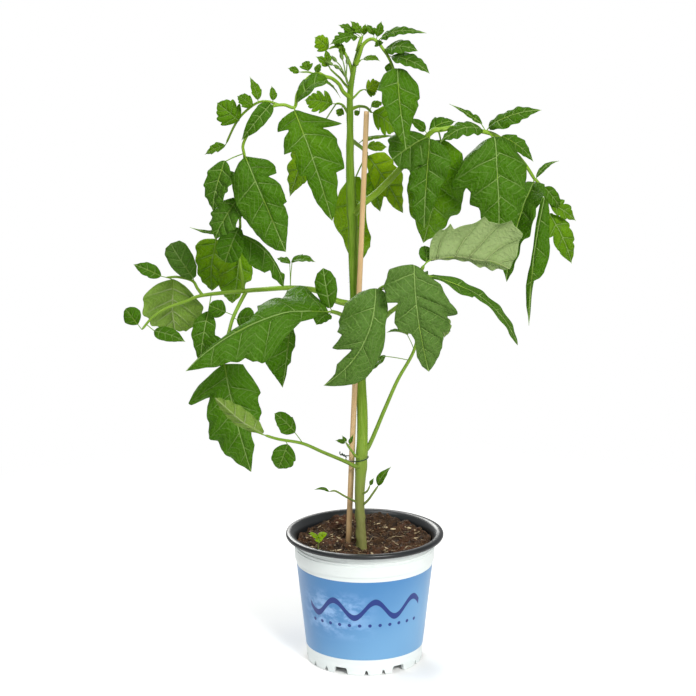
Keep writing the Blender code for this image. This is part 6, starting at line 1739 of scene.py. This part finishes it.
class SoilMaker:
    """The soil: an uneven bed, with crumbs, fibres and bark scattered over it."""

    RADIUS = 51.4
    WALL = ((0.3, 6.7), (20.0, 6.7), (42.8, 6.7), (50.3, 76.8), (51.3, 81.2), (51.4, 86.0))
    RINGS, COLUMNS = 170, 330
    CRUMBS, FIBRES, CHIPS = 2600, 420, 130
    CRUMBS_EDGE, FIBRES_EDGE, CHIPS_EDGE, WALL_EDGE = 50.0, 48.0, 47.0, 50.3
    TABLE = 64
    LUMPS = ((7.0, 1.6), (3.1, 1.3), (1.5, 0.8), (0.8, 0.45))

    def __init__(self, finishes: Finishes) -> None:
        """Keep the finishes and a table of random heights for the bed's lumps."""
        self.finishes = finishes
        self.table = np.random.default_rng(5).random((self.TABLE, self.TABLE))

    def lattice(self, x: np.ndarray, y: np.ndarray) -> np.ndarray:
        """Read between the table's entries with a smooth step.

        Args:
            x: places the one way, in steps of the table.
            y: places the other way.

        Returns:
            Smooth noise from 0 to 1.
        """
        i, j = np.floor(x).astype(int), np.floor(y).astype(int)
        fx, fy = ((f * f * (3 - 2 * f)) for f in (x - i, y - j))
        near, far = (self.table[i % self.TABLE, k % self.TABLE] * (1 - fx)
                     + self.table[(i + 1) % self.TABLE, k % self.TABLE] * fx for k in (j, j + 1))
        return near * (1 - fy) + far * fy

    def height(self, x: np.ndarray | float, y: np.ndarray | float) -> np.ndarray:
        """Height of the bed: a shallow dish with slow swells, and four octaves of lumps.

        Args:
            x: place across, in millimetres from the pot's axis.
            y: place to the back.

        Returns:
            Height in millimetres.
        """
        x, y = np.asarray(x, float), np.asarray(y, float)
        bank = 3.6 * np.clip((y - 20) / 30, 0, 1) ** 1.5
        base = 89 + 3 * (x ** 2 + y ** 2) / 2500 + 0.05 * y + bank
        base = base + 1.1 * (np.sin(0.33 * x + 1.1) * np.cos(0.29 * y) + 0.6 * np.sin(0.61 * x - 0.47 * y))
        for size, high in self.LUMPS:
            lump = self.lattice(x / size + 13, y / size + 29)
            base = base + high * (np.abs(2 * lump - 1) ** 0.8 - 0.45)
        return base + 0.8 * np.clip(1 - np.hypot(x + 2, y + 5) / 14, 0, 1)

    def make_bed(self) -> None:
        """Build the bed as one closed body that fills the pot up to its surface."""
        a = circle(self.COLUMNS)
        top = self.RADIUS * np.linspace(1, 0.004, self.RINGS)[:, None]
        x, y = top * np.cos(a), top * np.sin(a)
        wall = [np.stack(np.broadcast_arrays(r * np.cos(a), r * np.sin(a), z), -1) for r, z in self.WALL]
        fabric = Fabric()
        fabric.add(np.concatenate([np.stack(wall), np.stack([x, y, self.height(x, y)], -1)]))
        fabric.build("soil_bed", [self.finishes.soil], "soil")

    def spot(self, turn: float, far: float, edge: float) -> tuple[float, float, float]:
        """Choose a place on the bed's surface, evenly spread over its area.

        Args:
            turn: the way round, from 0 to 1.
            far: the share of the area that lies nearer to the middle.
            edge: the radius of the area.

        Returns:
            The place in millimetres.
        """
        r, a = edge * math.sqrt(far), turn * FULL_TURN
        x, y = r * math.cos(a), r * math.sin(a)
        return x, y, float(self.height(x, y))

    def make_crumbs(self) -> None:
        """Build the crumbs: small uneven blobs of six sides, half sunk in the bed."""
        fabric = Fabric()
        sizes = np.random.default_rng(31).random(self.CRUMBS)
        spine = np.array([(-1, 0, 0), (-.75, 0, .1), (0, 0, .2), (.7, 0, 0), (1, 0, 0)])
        for (turn, far, lean, tone), size in zip(random_places(self.CRUMBS, 30), sizes):
            radius = 0.3 + 1.15 * size ** 4
            spin = Matrix.Rotation(lean * 6.28, 3, "Z") @ Matrix.Rotation(tone * 2 - 1, 3, "Y")
            middle = np.array(self.spot(turn, far, self.CRUMBS_EDGE)) + (0, 0, radius * 0.3)
            radii = radius * np.array((0.25, 0.7, 0.95, 0.65, 0.2)) * (0.7 + 0.5 * lean)
            fabric.tube(middle + spine * radius @ np.array(spin).T, radii, 6, tone=tone)
        fabric.build("soil_crumbs", [self.finishes.crumb])

    def add_fibre(self, fabric: Fabric, place: np.ndarray, bend: np.ndarray) -> None:
        """Add one thin bent fibre that lies on the bed, unless it would cross the pot's wall.

        Args:
            fabric: the mesh of the litter.
            place: turn, distance, heading and tone, each from 0 to 1.
            bend: length, slope, bend and thickness, each from 0 to 1.
        """
        turn, far, way, tone = place
        x, y, z = self.spot(turn, far, self.FIBRES_EDGE)
        length = 1.5 + 7.5 * bend[0] ** 2.2
        heading = np.array((math.cos(way * 6.28), math.sin(way * 6.28), (bend[1] - 0.35) * 0.7))
        cross = np.array((-heading[1], heading[0], 0)) * (bend[2] - 0.5) * 1.6
        t = np.linspace(-0.5, 0.5, 7)[:, None]
        line = np.array((x, y, 0)) + (heading * t + cross * (t * t - 0.1)) * length
        if np.hypot(line[:, 0], line[:, 1]).max() >= self.WALL_EDGE:
            return
        line[:, 2] += self.height(line[:, 0], line[:, 1]).max() * 0.5 + z * 0.5 + 0.05
        radii = (0.09 + 0.3 * bend[3] ** 3) * np.array((0.4, 0.8, 1, 1, 0.95, 0.8, 0.4))
        fabric.tube(line, radii, 5, tone=tone ** 1.6)

    def add_chip(self, fabric: Fabric, turn: float, far: float, way: float, tone: float) -> None:
        """Add one flat chip of bark or wood.

        Args:
            fabric: the mesh of the litter.
            turn: its place round the pot, from 0 to 1.
            far: its place out from the middle, from 0 to 1.
            way: its heading, width and shade, from 0 to 1.
            tone: its length and slope, from 0 to 1.
        """
        length, wide = 1.2 + 2.2 * tone, 0.5 + 1.0 * way
        heading = np.array((math.cos(way * 40), math.sin(way * 40), 0.35 * (tone - 0.5)))
        cross = unit(np.array((-heading[1], heading[0], 0.5 * (turn - 0.5))))
        up = 0.18 * np.cross(heading, cross)
        middle = np.array(self.spot(turn, far, self.CHIPS_EDGE)) + (0, 0, 0.35)
        section = np.array([cross * wide, up, -cross * wide, -up])
        rings = [middle + heading * s * length + section * w
                 for s, w in ((-1, 0.5), (-0.6, 0.95), (0.5, 1.0), (1, 0.4))]
        fabric.add(np.array(rings), tone=way)

    def make_litter(self) -> None:
        """Build the litter: fibres, and chips of bark and wood."""
        fabric = Fabric()
        for place, bend in zip(random_places(self.FIBRES, 40), random_places(self.FIBRES, 41)):
            self.add_fibre(fabric, place, bend)
        for place in random_places(self.CHIPS, 50):
            self.add_chip(fabric, *place)
        fabric.build("soil_litter", [self.finishes.fibre])


# ---------------------------------------------------------------- studio

class Studio:
    """White studio: a pale floor and world, one large soft light and two fills, and the camera."""

    LENS, SENSOR = 135.4, 36.0
    CAMERA = (-12.6, -1905.0, 708.0)
    PITCH_DEGREES = 13.7
    FLOOR_HALF, FLOOR_Z = 2.6, -0.0003
    AMBIENT = 0.42
    WHITE = (1.0, 1.0, 1.0)
    TARGET = (0.0, 0.0, 0.25)
    LAMPS = (
        ("key", (0.8, -1.7, 1.3), 0.7, 40.0, (1.0, 0.99, 0.96)),
        ("top", (-0.5, -0.3, 2.2), 0.9, 18.0, WHITE),
        ("back", (-0.5, 1.7, 1.1), 1.0, 26.0, (1.0, 1.0, 0.97)),
    )

    def level(self, s: Sheet) -> Value:
        """The strength of the white: full for the camera, the ambient light for the rest."""
        return s.ramp(s.node("LightPath", {}, "Is Camera Ray"), 0.0, 1.0, self.AMBIENT, 1.0)

    def floor(self) -> None:
        """Lay the floor just under the pot. Away from the pot it glows as the world does."""
        half, z = self.FLOOR_HALF, self.FLOOR_Z
        mesh = bpy.data.meshes.new("floor")
        corners = [(-half, -half, z), (half, -half, z), (half, half, z), (-half, half, z)]
        mesh.from_pydata(corners, [], [(0, 1, 2, 3)])
        s = new_sheet("floor")
        tint = s.ramp(s.noise(s.place(), 3.0, 2.0), 0.2, 0.8)
        s.finish(s.mix(tint, (0.93, 0.93, 0.93), (0.95, 0.95, 0.95)), 0.9, 0.5)
        far = s.node("VectorMath", {0: s.place()}, "Value", operation="LENGTH")
        glow = s.node("Emission", {"Strength": self.level(s)})
        mesh.materials.append(s.cover(s.ramp(far, 0.16, 0.62), glow))
        link("floor", mesh)

    def lamp(self, name: str, place: Vec, size: float, power: float, colour: Colour) -> None:
        """Hang a round area light that looks at the plant.

        Args:
            name: the light's name.
            place: where it hangs, in metres.
            size: its width in metres.
            power: its power in watts.
            colour: its colour.
        """
        light = bpy.data.lights.new(name, "AREA")
        light.shape, light.size, light.energy, light.color = "DISK", size, power, colour
        obj = link(name, light)
        obj.location = place
        obj.rotation_euler = (Vector(self.TARGET) - Vector(place)).to_track_quat("-Z", "Y").to_euler()

    def world(self) -> None:
        """Give the world an even white light."""
        s = Sheet(bpy.data.worlds.new("studio"), "Background")
        s.put(s.shader, {"Color": self.WHITE, "Strength": self.level(s)})
        bpy.context.scene.world = s.block

    def camera(self) -> None:
        """Set the camera in front of the plant and a little above it."""
        data = bpy.data.cameras.new("camera")
        data.lens, data.sensor_width, data.clip_end = self.LENS, self.SENSOR, 20.0
        obj = link("camera", data)
        obj.location = Vector(np.array(self.CAMERA) * MM + POT_AXIS)
        obj.rotation_euler = (math.radians(90.0 - self.PITCH_DEGREES), 0.0, 0.0)
        bpy.context.scene.camera = obj

    def build(self) -> None:
        """Set up the studio."""
        self.floor()
        self.world()
        for lamp in self.LAMPS:
            self.lamp(*lamp)
        self.camera()
        bpy.context.scene.view_settings.view_transform = "Standard"


def main() -> None:
    """Build every piece and the studio; each piece logs its face count as it is built."""
    logging.basicConfig(level=logging.INFO, format="%(name)s: %(message)s")
    finishes = Finishes()
    leaves = CompoundLeafMaker(finishes)
    for plan in PLANS:
        leaves.make(plan)
    for maker in (StemMaker, StakeMaker, TieMaker, TrussMaker, PotMaker):
        maker(finishes).make()
    soil = SoilMaker(finishes)
    soil.make_bed()
    soil.make_crumbs()
    soil.make_litter()
    Studio().build()


if __name__ == "__main__":
    main()
